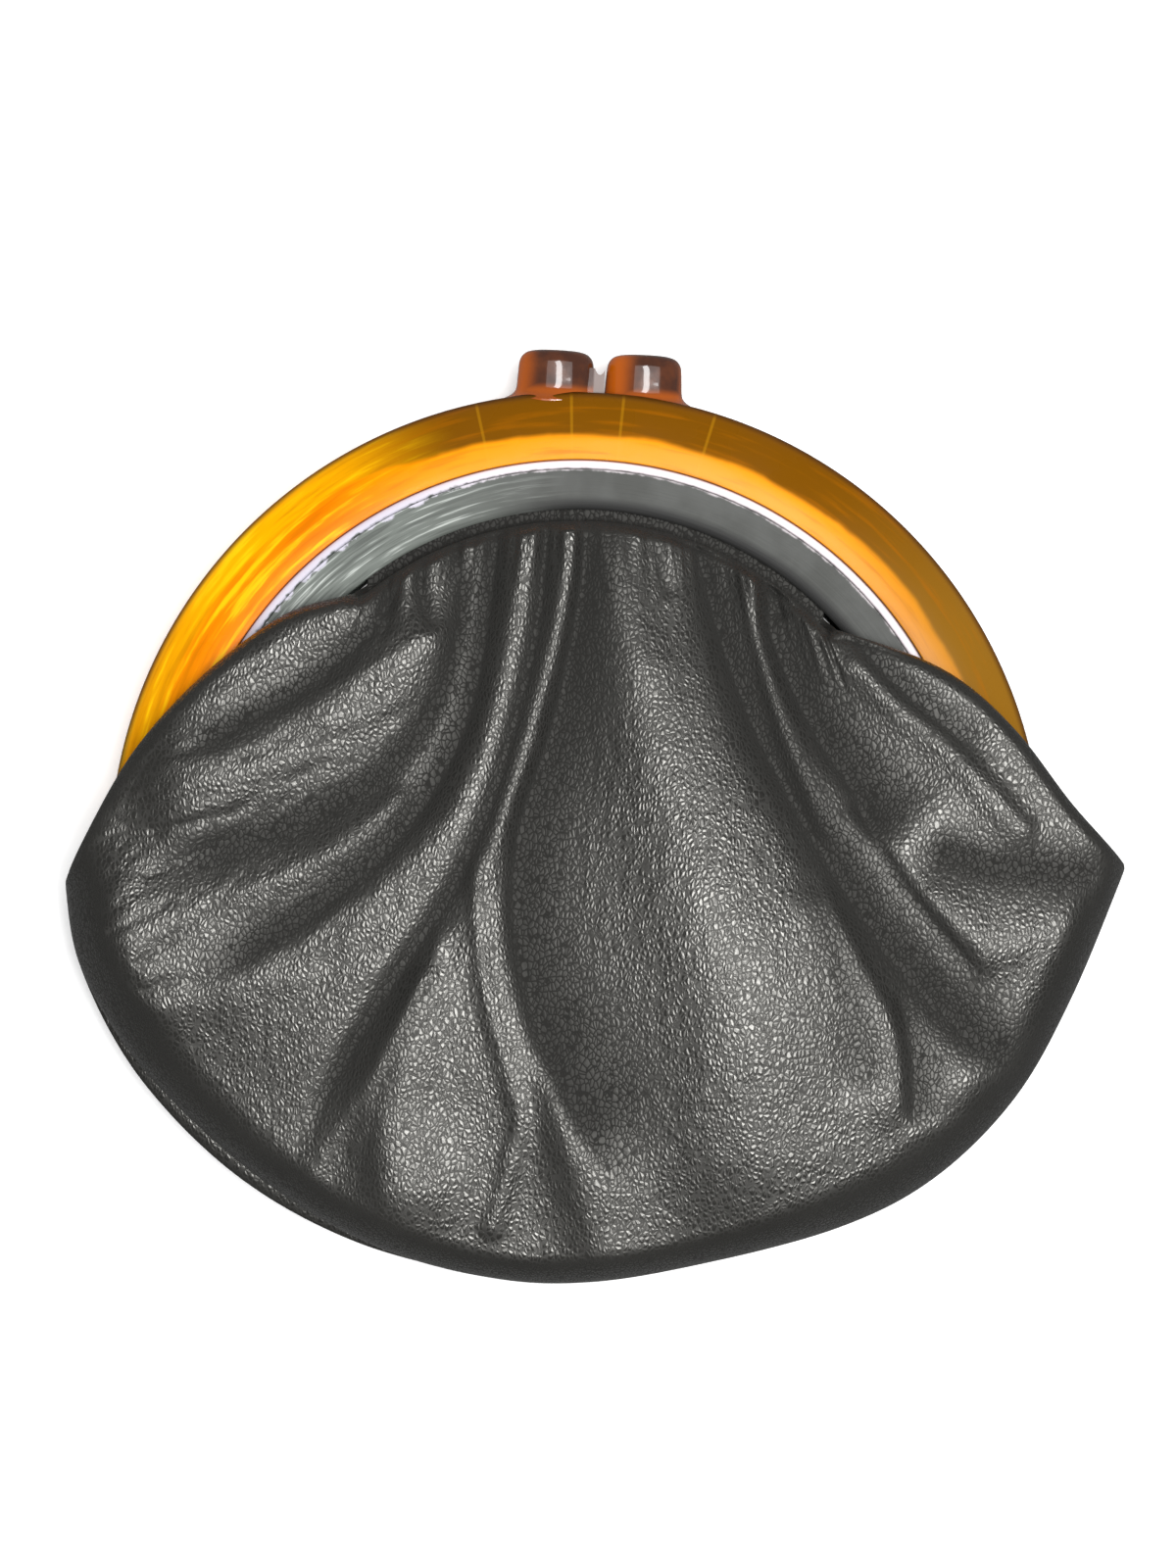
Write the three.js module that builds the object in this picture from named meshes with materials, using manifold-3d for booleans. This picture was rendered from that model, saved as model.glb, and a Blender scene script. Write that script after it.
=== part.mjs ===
// A gathered leather coin purse on a half-round plastic frame, lying on its back.
// Millimetres. The origin is the centre of the arch, on the surface that the purse lies on.
// +X points to the right, +Y towards the clasp and +Z up, out of the front panel.

import * as THREE from 'three';
import { mergeVertices } from 'three/addons/utils/BufferGeometryUtils.js';
import Module from 'manifold-3d';

const wasm = await Module();
wasm.setup();

const { lerp, smoothstep, degToRad } = THREE.MathUtils;

// Driving dimensions
const GAP = 0.3; // clearance between neighbouring pieces
const WALL = 1.2; // leather
const HEM = 2.6; // leather doubled over at a rolled edge
const FRAME_RADIUS = 57.5; // arch, outside
const ARCH_WIDTH = 8.2; // arch, across the band
const ARCH_FACE = 2.8; // flat front of the band, inside its rounded shoulder
const ARCH_BEVEL = 0.5; // broken inner edge of the band
const HALF_DEPTH = 6.4; // one half of the frame, front to back
const SHOULDER_BASE = 2.8; // height of the band's straight outer wall
const FRAME_BACK = 1.7; // lowest point of the frame above the surface
const CHANNEL_INSIDE = 43; // inner radius of the metal channel
const CHANNEL_DEPTH = 3.2; // channel, front to back
const FLANGE = 0.7; // channel wall
const SLOT_REACH = 3.2; // how far the slot goes into the channel
const BEAD = 0.9; // raised outer lip of the channel
const BEAD_WIDTH = 0.9;
const SLOT_OFFSET = 3.2; // slot centre from the plane between the halves
const CHANNEL_FOOT = 4.5; // the channel's legs end this far above the hinge
const ARC_SEGMENTS = 64; // facets in a full turn of the frame

// Kiss clasp
const POST_SPACING = 10.9;
const POST_LEAN = 0.5; // each post stands off the middle plane, towards its own half
const POST_TOP = 62.6; // height of the posts above the arch's centre
const POST_FOOT = 50; // depth from which a post's saddle is cut
const POST_DEPTH = 0.62; // the posts are flattened, so that they stand on the outer wall of the arch
const TONGUE_TOP = 59.8; // low tongue beside the front post, which fills the space between the two
const POST_PROFILE = [
  { below: 0, radius: 2.6 },
  { below: 0.35, radius: 3.85 },
  { below: 0.8, radius: 4.3 },
  { below: 1.5, radius: 4.58 },
  { below: 3, radius: 4.7 },
  { below: 4.6, radius: 4.8 },
  { below: 6.2, radius: 5.05 },
];

// Hinges at the ends of the arch, with their axis along X
const LUG_RADIUS = 3.4;
const LUG_THICKNESS = 3.4;
const PIN_RADIUS = 1;
const PIN_HEAD_RADIUS = 1.9;
const PIN_HEAD = 0.8;
const HINGE_X = FRAME_RADIUS - ARCH_WIDTH / 2;

// Height of the plane between the halves, where the rim of the bag is sewn as well
const MIDDLE = FRAME_BACK + HALF_DEPTH + GAP / 2;

// Leather: heights of the front panel, and how far inside each edge it has risen to them
const ROLL_LEVEL = 17.8; // rolled edge, over the legs of the frame
const BODY_LEVEL = 19.2;
const CROWN = { rise: 4, x: 4, y: -14, across: 38, along: 30 };
const MOUTH_LEVEL = 17.6; // just inside the channel
const MOUTH_RISE = 6; // distance over which the panel swells out of its channel to that height
const PUFF_REACH = 20; // distance from the channel at which it has the full height of the body
const FOLD_START = 3; // folds are flat in the channel and full this far inside it
const RIM_TURN = [ // share of the rim, and the distance over which the panel turns down to the seam there
  { share: 0, width: 7 },
  { share: 0.06, width: 8 },
  { share: 0.14, width: 11 },
  { share: 0.24, width: 11 },
  { share: 0.34, width: 8 },
  { share: 0.45, width: 6.5 },
  { share: 0.6, width: 7 },
  { share: 0.75, width: 8 },
  { share: 1, width: 7 },
];
const BACK_RISE = 10; // distances over which the back panel comes down to the surface
const PEEK = 1.2; // how far the back panel stands out past the front one, at the lower left
const PEEK_SPAN = { from: 0.02, to: 0.42 }; // share of the rim where it does

// Gathered mouth
const GATHER_LEFT = degToRad(132.8);
const GATHER_RIGHT = degToRad(44.3);
const MOUTH_RADIUS = CHANNEL_INSIDE - 0.6;
const TUCK = 3.1; // leather inside the channel
const END_TURN = degToRad(2.6); // arc over which a rolled edge comes out of the channel
const GATHER_TURN = degToRad(22); // arc over which the height beside the rolls changes to that of the gathers
const MOUTH_INSET = 0.8;

// Seam at the rim, seen from the front, from the left ear round the bottom to the right ear
const RIM = [
  { x: -62.9, y: -6.6 },
  { x: -60.4, y: -17 },
  { x: -52.6, y: -29.8 },
  { x: -40, y: -41.3 },
  { x: -25, y: -48.7 },
  { x: -8.4, y: -52.1 },
  { x: 4, y: -52.1 },
  { x: 18.5, y: -49 },
  { x: 35, y: -43.7 },
  { x: 46.2, y: -37.1 },
  { x: 55.5, y: -26.9 },
  { x: 61.8, y: -14.4 },
  { x: 67.8, y: 2.2 },
];

// Rolled edges over the legs of the frame, from each ear to the end of the gathers
const LEFT_ROLL = [
  { x: -62.9, y: -6.6 },
  { x: -60.6, y: -1.2 },
  { x: -54.8, y: 10.3 },
  { x: -47, y: 19.9 },
  { x: -37.3, y: 28 },
  { x: MOUTH_RADIUS * Math.cos(GATHER_LEFT), y: MOUTH_RADIUS * Math.sin(GATHER_LEFT) },
];
const RIGHT_ROLL = [
  { x: 67.8, y: 2.2 },
  { x: 60.4, y: 9.5 },
  { x: 53.6, y: 17.6 },
  { x: 47, y: 23.4 },
  { x: 40.3, y: 26.8 },
  { x: MOUTH_RADIUS * Math.cos(GATHER_RIGHT), y: MOUTH_RADIUS * Math.sin(GATHER_RIGHT) },
];
const ROLL_RIM_SHARE = 0.17; // share of the rim that faces each rolled edge

// Folds of the front panel: a smooth path from the gathers to the fold's foot, the height at its start
// (a groove's is negative), its half width at both ends, the share of height left at the foot, and how
// many times wider the fold is on its right side
const FOLDS = [
  { name: 'left_tuck',
    path: [[-24.5, 32.5], [-25, 28.5], [-27.5, 25], [-32, 21], [-36.5, 17.5], [-42.5, 14]],
    rise: -1.7, width: 1.7, spread: 2.6, tail: 0.5, lean: 1 },
  { name: 'left_pinch', path: [[-20.5, 35.5], [-20.5, 32], [-19.5, 29], [-18, 26.5]],
    rise: -1.6, width: 1.7, spread: 1.7, tail: 0.3, lean: 1 },
  { name: 'groove_b',
    path: [[-15, 31], [-16, 25], [-17.5, 18.5], [-23, 9.5], [-31, 4], [-40.5, -1], [-47.5, -4]],
    rise: -1.3, width: 1.7, spread: 2.8, tail: 0.8, lean: 1 },
  { name: 'groove_c',
    path: [[-11.5, 39.5], [-12, 32.5], [-13, 20.5], [-15.5, 12], [-18.5, 5], [-28.5, -6], [-35.5, -12]],
    rise: -1.7, width: 1.7, spread: 2.6, tail: 0.8, lean: 1 },
  { name: 'groove_d',
    path: [[-5.5, 39.5], [-6.5, 25.5], [-9.5, 11], [-13, -2], [-19, -15.5], [-25.5, -29.5], [-30.5, -39]],
    rise: -1.3, width: 1.7, spread: 1.8, tail: 1, lean: 1 },
  { name: 'groove_f',
    path: [[-1, 42], [-0.5, 33], [-2.5, 16.5], [-6.5, -0.5], [-7, -10], [-3, -28], [-2, -36]],
    rise: -2.2, width: 2, spread: 3, tail: 0.9, lean: 2.2 },
  { name: 'groove_h',
    path: [[13, 39], [16.5, 28], [22, 15.5], [30, 2.5], [39, -10.5], [44, -16], [50.5, -19.5]],
    rise: -2.6, width: 2, spread: 2.6, tail: 0.7, lean: 1.3 },
  { name: 'groove_i', path: [[22, 34.5], [22.5, 28.5], [28, 17.5], [36, 7], [45, -4], [50, -8]],
    rise: -2.2, width: 1.7, spread: 2.2, tail: 0.4, lean: 2 },
  { name: 'right_slit', path: [[23.5, 36.5], [23, 33], [24, 30]],
    rise: -1.6, width: 1.7, spread: 1.7, tail: 0.4, lean: 1 },
  { name: 'right_tuck', path: [[32, 29], [36, 24], [44.5, 18], [49, 15]],
    rise: -1.1, width: 1.7, spread: 2, tail: 0.5, lean: 1 },
  { name: 'right_dent', path: [[43.5, 3], [50.5, 1.5], [56.5, 1.5], [62.5, 1]],
    rise: -1.1, width: 2.2, spread: 2.8, tail: 0.6, lean: 1 },
  { name: 'groove_e', path: [[-14, -8.5], [-17, -15], [-20.5, -23], [-22.5, -30], [-24.5, -42.5]],
    rise: -1.1, width: 1.7, spread: 1.7, tail: 0.7, lean: 1 },
  { name: 'foot_edge', path: [[5.5, -23.5], [8, -31], [11.5, -38], [15, -43]],
    rise: -1, width: 1.7, spread: 1.7, tail: 1, lean: 2.5 },
  { name: 'ridge_a', path: [[-31.5, 28], [-36.5, 24], [-42, 19.5], [-45, 15.5]],
    rise: 1.2, width: 3, spread: 3, tail: 0.6, lean: 1 },
  { name: 'ridge_b', path: [[-20, 25], [-24.5, 21], [-31.5, 15.5], [-39, 10.5], [-47.5, 5]],
    rise: 1.8, width: 4, spread: 5, tail: 0.7, lean: 1.3 },
  { name: 'ridge_c', path: [[-23, 4.5], [-30.5, -2], [-38.5, -5], [-46, -9.5], [-51.5, -13]],
    rise: 0.8, width: 2, spread: 3.5, tail: 1.4, lean: 1 },
  { name: 'ridge_d',
    path: [[-8, 37.5], [-9.5, 26.5], [-11, 15.5], [-14.5, 4.5], [-19.5, -3], [-27.5, -10], [-34.5, -16.5]],
    rise: 0.8, width: 2, spread: 4.5, tail: 1.3, lean: 1 },
  { name: 'ridge_e', path: [[-3, 39.5], [-4, 28], [-6.5, 16.5], [-9.5, 5], [-12, -2.5]],
    rise: 0.8, width: 1.8, spread: 1.8, tail: 0.8, lean: 1 },
  { name: 'lobe', path: [[-17, -13.5], [-19, -21.5], [-20, -30], [-18, -39]],
    rise: 1.1, width: 2, spread: 4, tail: 1.2, lean: 1.6 },
  { name: 'ridge_f', path: [[-11.5, -4], [-10, -12], [-7, -21], [-4, -30.5], [-4, -38.5], [-6, -45.5]],
    rise: 0.9, width: 1.7, spread: 1.7, tail: 1, lean: 1 },
  { name: 'foot_g', path: [[-0.5, -29], [2, -35], [5, -40], [9.5, -45]],
    rise: 1.4, width: 3, spread: 4.5, tail: 1, lean: 1 },
  { name: 'belly', path: [[2.5, 38], [5, 28.5], [8.5, 17], [12, 6], [15, -5.5], [19, -17.5], [30.5, -34.5]],
    rise: 3, width: 3.2, spread: 8, tail: 0.9, lean: 2.2 },
  { name: 'ridge_h', path: [[36, -7], [38, -13], [39.5, -20], [41, -25.5]],
    rise: 0.7, width: 1.7, spread: 2, tail: 0.7, lean: 1 },
  { name: 'ridge_i', path: [[20, 35.5], [21, 29.5], [25, 17], [31, 4], [34.5, 0.5]],
    rise: 0.9, width: 1.7, spread: 1.7, tail: 0.7, lean: 1 },
  { name: 'ridge_j', path: [[27.5, 31], [28.5, 26.5], [29, 23]],
    rise: 0.8, width: 1.7, spread: 2, tail: 0.4, lean: 1 },
  { name: 'right_belly', path: [[35, 23], [41, 16], [47, 11.5], [53.5, 8.5]],
    rise: 1.2, width: 4, spread: 5, tail: 0.7, lean: 1 },
  { name: 'right_foot', path: [[44, -3.5], [50, -7], [55, -6.5], [59.5, -5]],
    rise: 1.2, width: 3, spread: 3.5, tail: 0.7, lean: 1 },
  { name: 'left_foot', path: [[-54.5, -6], [-53, -10.5], [-51.5, -15.5], [-46.5, -18]],
    rise: 1.5, width: 4, spread: 4, tail: 0.9, lean: 1 },
];

// Plain gathers of the back panel, evenly spaced along its mouth
const BACK_GATHERS = { count: 9, rise: 2.2, width: 1.8, spread: 3.5, length: 20 };

// Grid of each panel: lines from the upper edge to the rim, and points along each line
const FRONT_GRID = { rollLines: 11, gatherLines: 40, rows: 18 };
const BACK_GRID = { rollLines: 7, gatherLines: 26, rows: 9 };

const amber = new THREE.MeshStandardMaterial({ color: 0xd9860c, roughness: 0.22, metalness: 0 });
const darkAmber = new THREE.MeshStandardMaterial({ color: 0x8a3a0c, roughness: 0.15, metalness: 0 });
const greyMetal = new THREE.MeshStandardMaterial({ color: 0x6c6e69, roughness: 0.35, metalness: 1 });
const leather = new THREE.MeshStandardMaterial({ color: 0x3c3b38, roughness: 0.45, metalness: 0 });

// Solids and booleans

function mergedGeometry(geometry) {
  const bare = new THREE.BufferGeometry();
  bare.setAttribute('position', geometry.getAttribute('position'));
  bare.setIndex(geometry.getIndex());
  const merged = mergeVertices(bare, 1e-3);
  const index = merged.getIndex().array;
  const kept = [];
  for (let i = 0; i < index.length; i += 3) {
    const [a, b, c] = index.slice(i, i + 3);
    if (a !== b && b !== c && c !== a) kept.push(a, b, c);
  }
  merged.setIndex(kept);
  return merged;
}

function toSolid(geometry) {
  const merged = mergedGeometry(geometry);
  return new wasm.Manifold(new wasm.Mesh({
    numProp: 3,
    vertProperties: new Float32Array(merged.getAttribute('position').array),
    triVerts: new Uint32Array(merged.getIndex().array),
  }));
}

function toGeometry(solid) {
  const mesh = solid.getMesh();
  const geometry = new THREE.BufferGeometry();
  geometry.setAttribute('position', new THREE.BufferAttribute(mesh.vertProperties, 3));
  geometry.setIndex(new THREE.BufferAttribute(mesh.triVerts, 1));
  geometry.computeVertexNormals();
  return geometry;
}

function named(name, geometry, material) {
  const mesh = new THREE.Mesh(geometry, material);
  mesh.name = name;
  return mesh;
}

// Frame: every section is drawn as radius and height above the plane between the halves, for the
// front half (side 1), and mirrored for the back half (side -1)

function ring(section, side) {
  const outline = section.map(([radius, height]) => new THREE.Vector2(radius, height * side));
  if (side < 0) outline.reverse();
  outline.push(outline[0].clone());
  return toSolid(new THREE.LatheGeometry(outline, ARC_SEGMENTS).rotateX(Math.PI / 2));
}

function archSection(grow = 0) {
  const inside = FRAME_RADIUS - ARCH_WIDTH;
  const base = GAP / 2;
  const top = base + HALF_DEPTH;
  const section = [[inside - grow, base - grow], [FRAME_RADIUS + grow, base - grow]];
  const steps = 6;
  for (let i = 0; i <= steps; i++) {
    const turn = (Math.PI / 2) * (i / steps);
    section.push([
      inside + ARCH_FACE + (ARCH_WIDTH - ARCH_FACE + grow) * Math.cos(turn),
      base + SHOULDER_BASE + (HALF_DEPTH - SHOULDER_BASE + grow) * Math.sin(turn),
    ]);
  }
  section.push([inside + ARCH_BEVEL, top + grow], [inside - grow, top - ARCH_BEVEL]);
  return section;
}

function channelSection() {
  const outside = FRAME_RADIUS - ARCH_WIDTH - GAP;
  const low = SLOT_OFFSET - CHANNEL_DEPTH / 2;
  const high = SLOT_OFFSET + CHANNEL_DEPTH / 2;
  const slotEnd = CHANNEL_INSIDE + SLOT_REACH;
  return [
    [CHANNEL_INSIDE, low],
    [outside, low],
    [outside, high + BEAD],
    [outside - BEAD_WIDTH, high + BEAD],
    [outside - BEAD_WIDTH - BEAD / 4, high],
    [CHANNEL_INSIDE, high],
    [CHANNEL_INSIDE, high - FLANGE],
    [slotEnd, high - FLANGE],
    [slotEnd, low + FLANGE],
    [CHANNEL_INSIDE, low + FLANGE],
  ];
}

function upperHalf(lowest) {
  const size = 2 * FRAME_RADIUS + 10;
  const box = new THREE.BoxGeometry(size, size, size);
  box.translate(0, size / 2 + lowest, 0);
  return toSolid(box);
}

function discAlongX(radius, fromX, toX) {
  const disc = new THREE.CylinderGeometry(radius, radius, toX - fromX, 20);
  disc.rotateZ(Math.PI / 2);
  disc.translate((fromX + toX) / 2, 0, 0);
  return toSolid(disc);
}

function halfArch(side) {
  const near = GAP / 2;
  const far = near + LUG_THICKNESS;
  const inner = [HINGE_X - far, HINGE_X - near];
  const outer = [HINGE_X + near, HINGE_X + far];
  const [own, other] = side > 0 ? [inner, outer] : [outer, inner];
  const clear = LUG_THICKNESS + PIN_HEAD_RADIUS * 2;
  let arch = ring(archSection(), side).intersect(upperHalf(0));
  for (const end of [-1, 1]) {
    const disc = (radius, [from, to]) => {
      const [low, high] = [end * from, end * to].sort((a, b) => a - b);
      return discAlongX(radius, low, high);
    };
    arch = arch.subtract(disc(LUG_RADIUS + GAP, [other[0] - GAP, other[1] + GAP]));
    arch = arch.add(disc(LUG_RADIUS, own));
    arch = arch.subtract(disc(PIN_RADIUS + GAP, [HINGE_X - clear, HINGE_X + clear]));
    arch = arch.subtract(disc(PIN_HEAD_RADIUS + GAP, [HINGE_X - clear, HINGE_X - far]));
    arch = arch.subtract(disc(PIN_HEAD_RADIUS + GAP, [HINGE_X + far, HINGE_X + clear]));
  }
  return toGeometry(arch);
}

function channel(side) {
  return toGeometry(ring(channelSection(), side).intersect(upperHalf(CHANNEL_FOOT)));
}

function claspPost(side) {
  const outline = [new THREE.Vector2(0, POST_TOP)];
  for (const { below, radius } of POST_PROFILE) outline.push(new THREE.Vector2(radius, POST_TOP - below));
  outline.push(new THREE.Vector2(POST_PROFILE.at(-1).radius, POST_FOOT), new THREE.Vector2(0, POST_FOOT));
  outline.reverse();
  const lathe = new THREE.LatheGeometry(outline, 24);
  lathe.scale(1, 1, POST_DEPTH);
  lathe.translate((-side * POST_SPACING) / 2, 0, side * POST_LEAN);
  let post = toSolid(lathe);
  if (side > 0) {
    const reach = POST_SPACING / 2 - POST_PROFILE.at(-1).radius - GAP;
    const tongue = new THREE.BoxGeometry(POST_SPACING / 2 + reach, TONGUE_TOP - POST_FOOT, LUG_RADIUS);
    tongue.translate((reach - POST_SPACING / 2) / 2, (TONGUE_TOP + POST_FOOT) / 2, POST_LEAN);
    post = post.add(toSolid(tongue));
  }
  for (const half of [1, -1]) post = post.subtract(ring(archSection(GAP), half));
  return toGeometry(post);
}

function hingePin() {
  const shank = LUG_THICKNESS + GAP * 1.5;
  const outline = [
    [0, -shank - PIN_HEAD],
    [PIN_HEAD_RADIUS, -shank - PIN_HEAD],
    [PIN_HEAD_RADIUS, -shank],
    [PIN_RADIUS, -shank],
    [PIN_RADIUS, shank],
    [PIN_HEAD_RADIUS, shank],
    [PIN_HEAD_RADIUS, shank + PIN_HEAD],
    [0, shank + PIN_HEAD],
  ].map(([radius, along]) => new THREE.Vector2(radius, along));
  return mergedGeometry(new THREE.LatheGeometry(outline, 16).rotateZ(Math.PI / 2));
}

// Leather panels

function spline(points) {
  return new THREE.SplineCurve(points.map(({ x, y }) => new THREE.Vector2(x, y)));
}

// Nearest place on a path: its distance from (x, y), its share of the path's length, and the side of the
// path that (x, y) lies on, from -1 at its left to 1 at its right
function nearest(path, x, y) {
  let best = { distance: Infinity, along: 0, side: 0 };
  for (let i = 0; i + 1 < path.length; i++) {
    const a = path[i];
    const dx = path[i + 1].x - a.x;
    const dy = path[i + 1].y - a.y;
    const t = THREE.MathUtils.clamp(((x - a.x) * dx + (y - a.y) * dy) / (dx * dx + dy * dy), 0, 1);
    const offX = x - a.x - t * dx;
    const offY = y - a.y - t * dy;
    const distance = Math.hypot(offX, offY);
    if (distance >= best.distance) continue;
    const side = (dx * offY - dy * offX) / Math.max(distance * Math.hypot(dx, dy), 1e-9);
    best = { distance, along: (i + t) / (path.length - 1), side };
  }
  return best;
}

// Rounded rise from 0 at an edge to 1 at the end of its distance
function swell(share) {
  const left = 1 - THREE.MathUtils.clamp(share, 0, 1);
  return (1 - left ** 2.2) ** (1 / 2.2);
}

function foldCurves(folds) {
  return folds.map((fold) => {
    const corners = fold.path.map(([x, y]) => ({ x, y }));
    return { ...fold, curve: spline(corners).getSpacedPoints(18) };
  });
}

// A ridge is round and a groove is a sharper crease
function foldHeight(folds, x, y) {
  let height = 0;
  for (const fold of folds) {
    const { distance, along, side } = nearest(fold.curve, x, y);
    const half = lerp(fold.width, fold.spread, along) * lerp(1, fold.lean, (1 + side) / 2);
    const power = fold.rise > 0 ? 2 : 1;
    height += fold.rise * lerp(1, fold.tail, along) * Math.exp(-((distance / half) ** power));
  }
  return height;
}

function backGathers() {
  const { count, rise, width, spread, length } = BACK_GATHERS;
  const folds = [];
  for (let i = 0; i < count; i++) {
    const angle = lerp(GATHER_LEFT, GATHER_RIGHT, (i + 0.5) / count);
    const path = [0, 0.33, 0.67, 1].map((depth) => {
      const radius = MOUTH_RADIUS - depth * length;
      return [radius * Math.cos(angle), radius * Math.sin(angle)];
    });
    folds.push({ path, rise, width, spread, tail: 0, lean: 1 });
  }
  return folds;
}

// Share of the front panel's height that it has reached, at a distance from a place on the rim
function rimSwell({ fromSeam, rim }) {
  const next = Math.max(1, RIM_TURN.findIndex(({ share }) => share >= rim));
  const [a, b] = [RIM_TURN[next - 1], RIM_TURN[next]];
  return swell(fromSeam / lerp(a.width, b.width, (rim - a.share) / (b.share - a.share)));
}

// Seam line of a panel: the rim, drawn in by a width at each place
function seamLine(count, inset) {
  const curve = spline(RIM);
  const line = [];
  for (let i = 0; i <= count; i++) {
    const share = i / count;
    const point = curve.getPointAt(share);
    const tangent = curve.getTangentAt(share);
    const depth = inset(share);
    line.push(new THREE.Vector2(point.x - tangent.y * depth, point.y + tangent.x * depth));
  }
  return line;
}

function peek(share) {
  const { from, to } = PEEK_SPAN;
  const middle = (from + to) / 2;
  return PEEK * smoothstep(share, from, middle) * (1 - smoothstep(share, middle, to));
}

// Upper edge of a panel, line by line: where the leather ends, the start of its free surface, whether
// it is a rolled edge or tucked into the channel, how far it lies among the gathers, and the share of
// the rim that the line runs to
function upperEdge({ rollLines, gatherLines }) {
  const lines = [];
  const left = spline(LEFT_ROLL).getSpacedPoints(rollLines);
  const right = spline(RIGHT_ROLL).getSpacedPoints(rollLines).reverse();
  for (let i = 0; i < rollLines; i++) {
    lines.push({ end: left[i], roll: 1, gather: 0, rim: (ROLL_RIM_SHARE * i) / rollLines });
  }
  for (let i = 0; i <= gatherLines; i++) {
    const angle = lerp(GATHER_LEFT, GATHER_RIGHT, i / gatherLines);
    const fromEnd = Math.min(GATHER_LEFT - angle, angle - GATHER_RIGHT);
    const reach = TUCK * smoothstep(fromEnd, END_TURN, 2 * END_TURN);
    const ray = new THREE.Vector2(Math.cos(angle), Math.sin(angle));
    lines.push({
      end: ray.clone().multiplyScalar(MOUTH_RADIUS + reach),
      start: ray.clone().multiplyScalar(MOUTH_RADIUS - MOUTH_INSET),
      roll: 1 - smoothstep(fromEnd, 0, END_TURN),
      gather: smoothstep(fromEnd, 0, GATHER_TURN),
      rim: lerp(ROLL_RIM_SHARE, 1 - ROLL_RIM_SHARE, i / gatherLines),
    });
  }
  for (let i = 1; i <= rollLines; i++) {
    lines.push({ end: right[i], roll: 1, gather: 0, rim: 1 - ROLL_RIM_SHARE * (1 - i / rollLines) });
  }
  return lines;
}

// Points of one face of a panel. heightAt gets the place, its distances from the mouth and from the
// seam, the share of the rim there, its line, and whether it lies on the leather's very edge
function panelFace(grid, seam, heightAt) {
  const lines = upperEdge(grid);
  const mouth = lines.map(({ end, start, roll }) => (roll < 1 ? start : end));
  const face = [];
  for (const line of lines) {
    const foot = seam[Math.round(line.rim * (seam.length - 1))];
    const ear = line.rim === 0 || line.rim === 1;
    const end = ear ? foot : line.end;
    const start = line.start ?? end.clone().lerp(foot, 0.12);
    const row = [];
    for (let j = -1; j <= grid.rows; j++) {
      const share = Math.max(j, 0) / grid.rows;
      const eased = share - (0.75 * Math.sin(2 * Math.PI * share)) / (2 * Math.PI);
      const place = j < 0 ? end : start.clone().lerp(foot, eased);
      const fromMouth = j < 0 ? 0 : nearest(mouth, place.x, place.y).distance;
      const { distance, along } = nearest(seam, place.x, place.y);
      const fromSeam = ear || j === grid.rows ? 0 : distance;
      const height = heightAt({ x: place.x, y: place.y, fromMouth, fromSeam, rim: along, line, edge: j < 0 });
      row.push(new THREE.Vector3(place.x, place.y, height));
    }
    face.push(row);
  }
  return face;
}

// Closed wall between an upper and a lower face with the same number of points
function wallGeometry(upper, lower) {
  const rows = upper[0].length;
  const count = upper.length * rows;
  const positions = [...upper.flat(), ...lower.flat()].flatMap((point) => point.toArray());
  const at = (i, j) => i * rows + j;
  const index = [];
  const quad = (a, b, c, d) => index.push(a, b, c, a, c, d);
  for (let i = 0; i + 1 < upper.length; i++) {
    for (let j = 0; j + 1 < rows; j++) {
      const corners = [at(i, j), at(i, j + 1), at(i + 1, j + 1), at(i + 1, j)];
      quad(...corners);
      quad(...corners.map((corner) => corner + count).reverse());
    }
    quad(at(i + 1, 0), at(i + 1, 0) + count, at(i, 0) + count, at(i, 0));
    const last = rows - 1;
    quad(at(i, last), at(i, last) + count, at(i + 1, last) + count, at(i + 1, last));
  }
  const geometry = new THREE.BufferGeometry();
  geometry.setAttribute('position', new THREE.Float32BufferAttribute(positions, 3));
  geometry.setIndex(index);
  return mergedGeometry(geometry);
}

// Height of a leather wall measured upright, where a fold makes it slope
function uprightWall(folds, x, y) {
  const step = 0.4;
  const slopeX = (foldHeight(folds, x + step, y) - foldHeight(folds, x - step, y)) / (2 * step);
  const slopeY = (foldHeight(folds, x, y + step) - foldHeight(folds, x, y - step)) / (2 * step);
  return WALL * Math.min(Math.hypot(1, slopeX, slopeY), 1.8);
}

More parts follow.
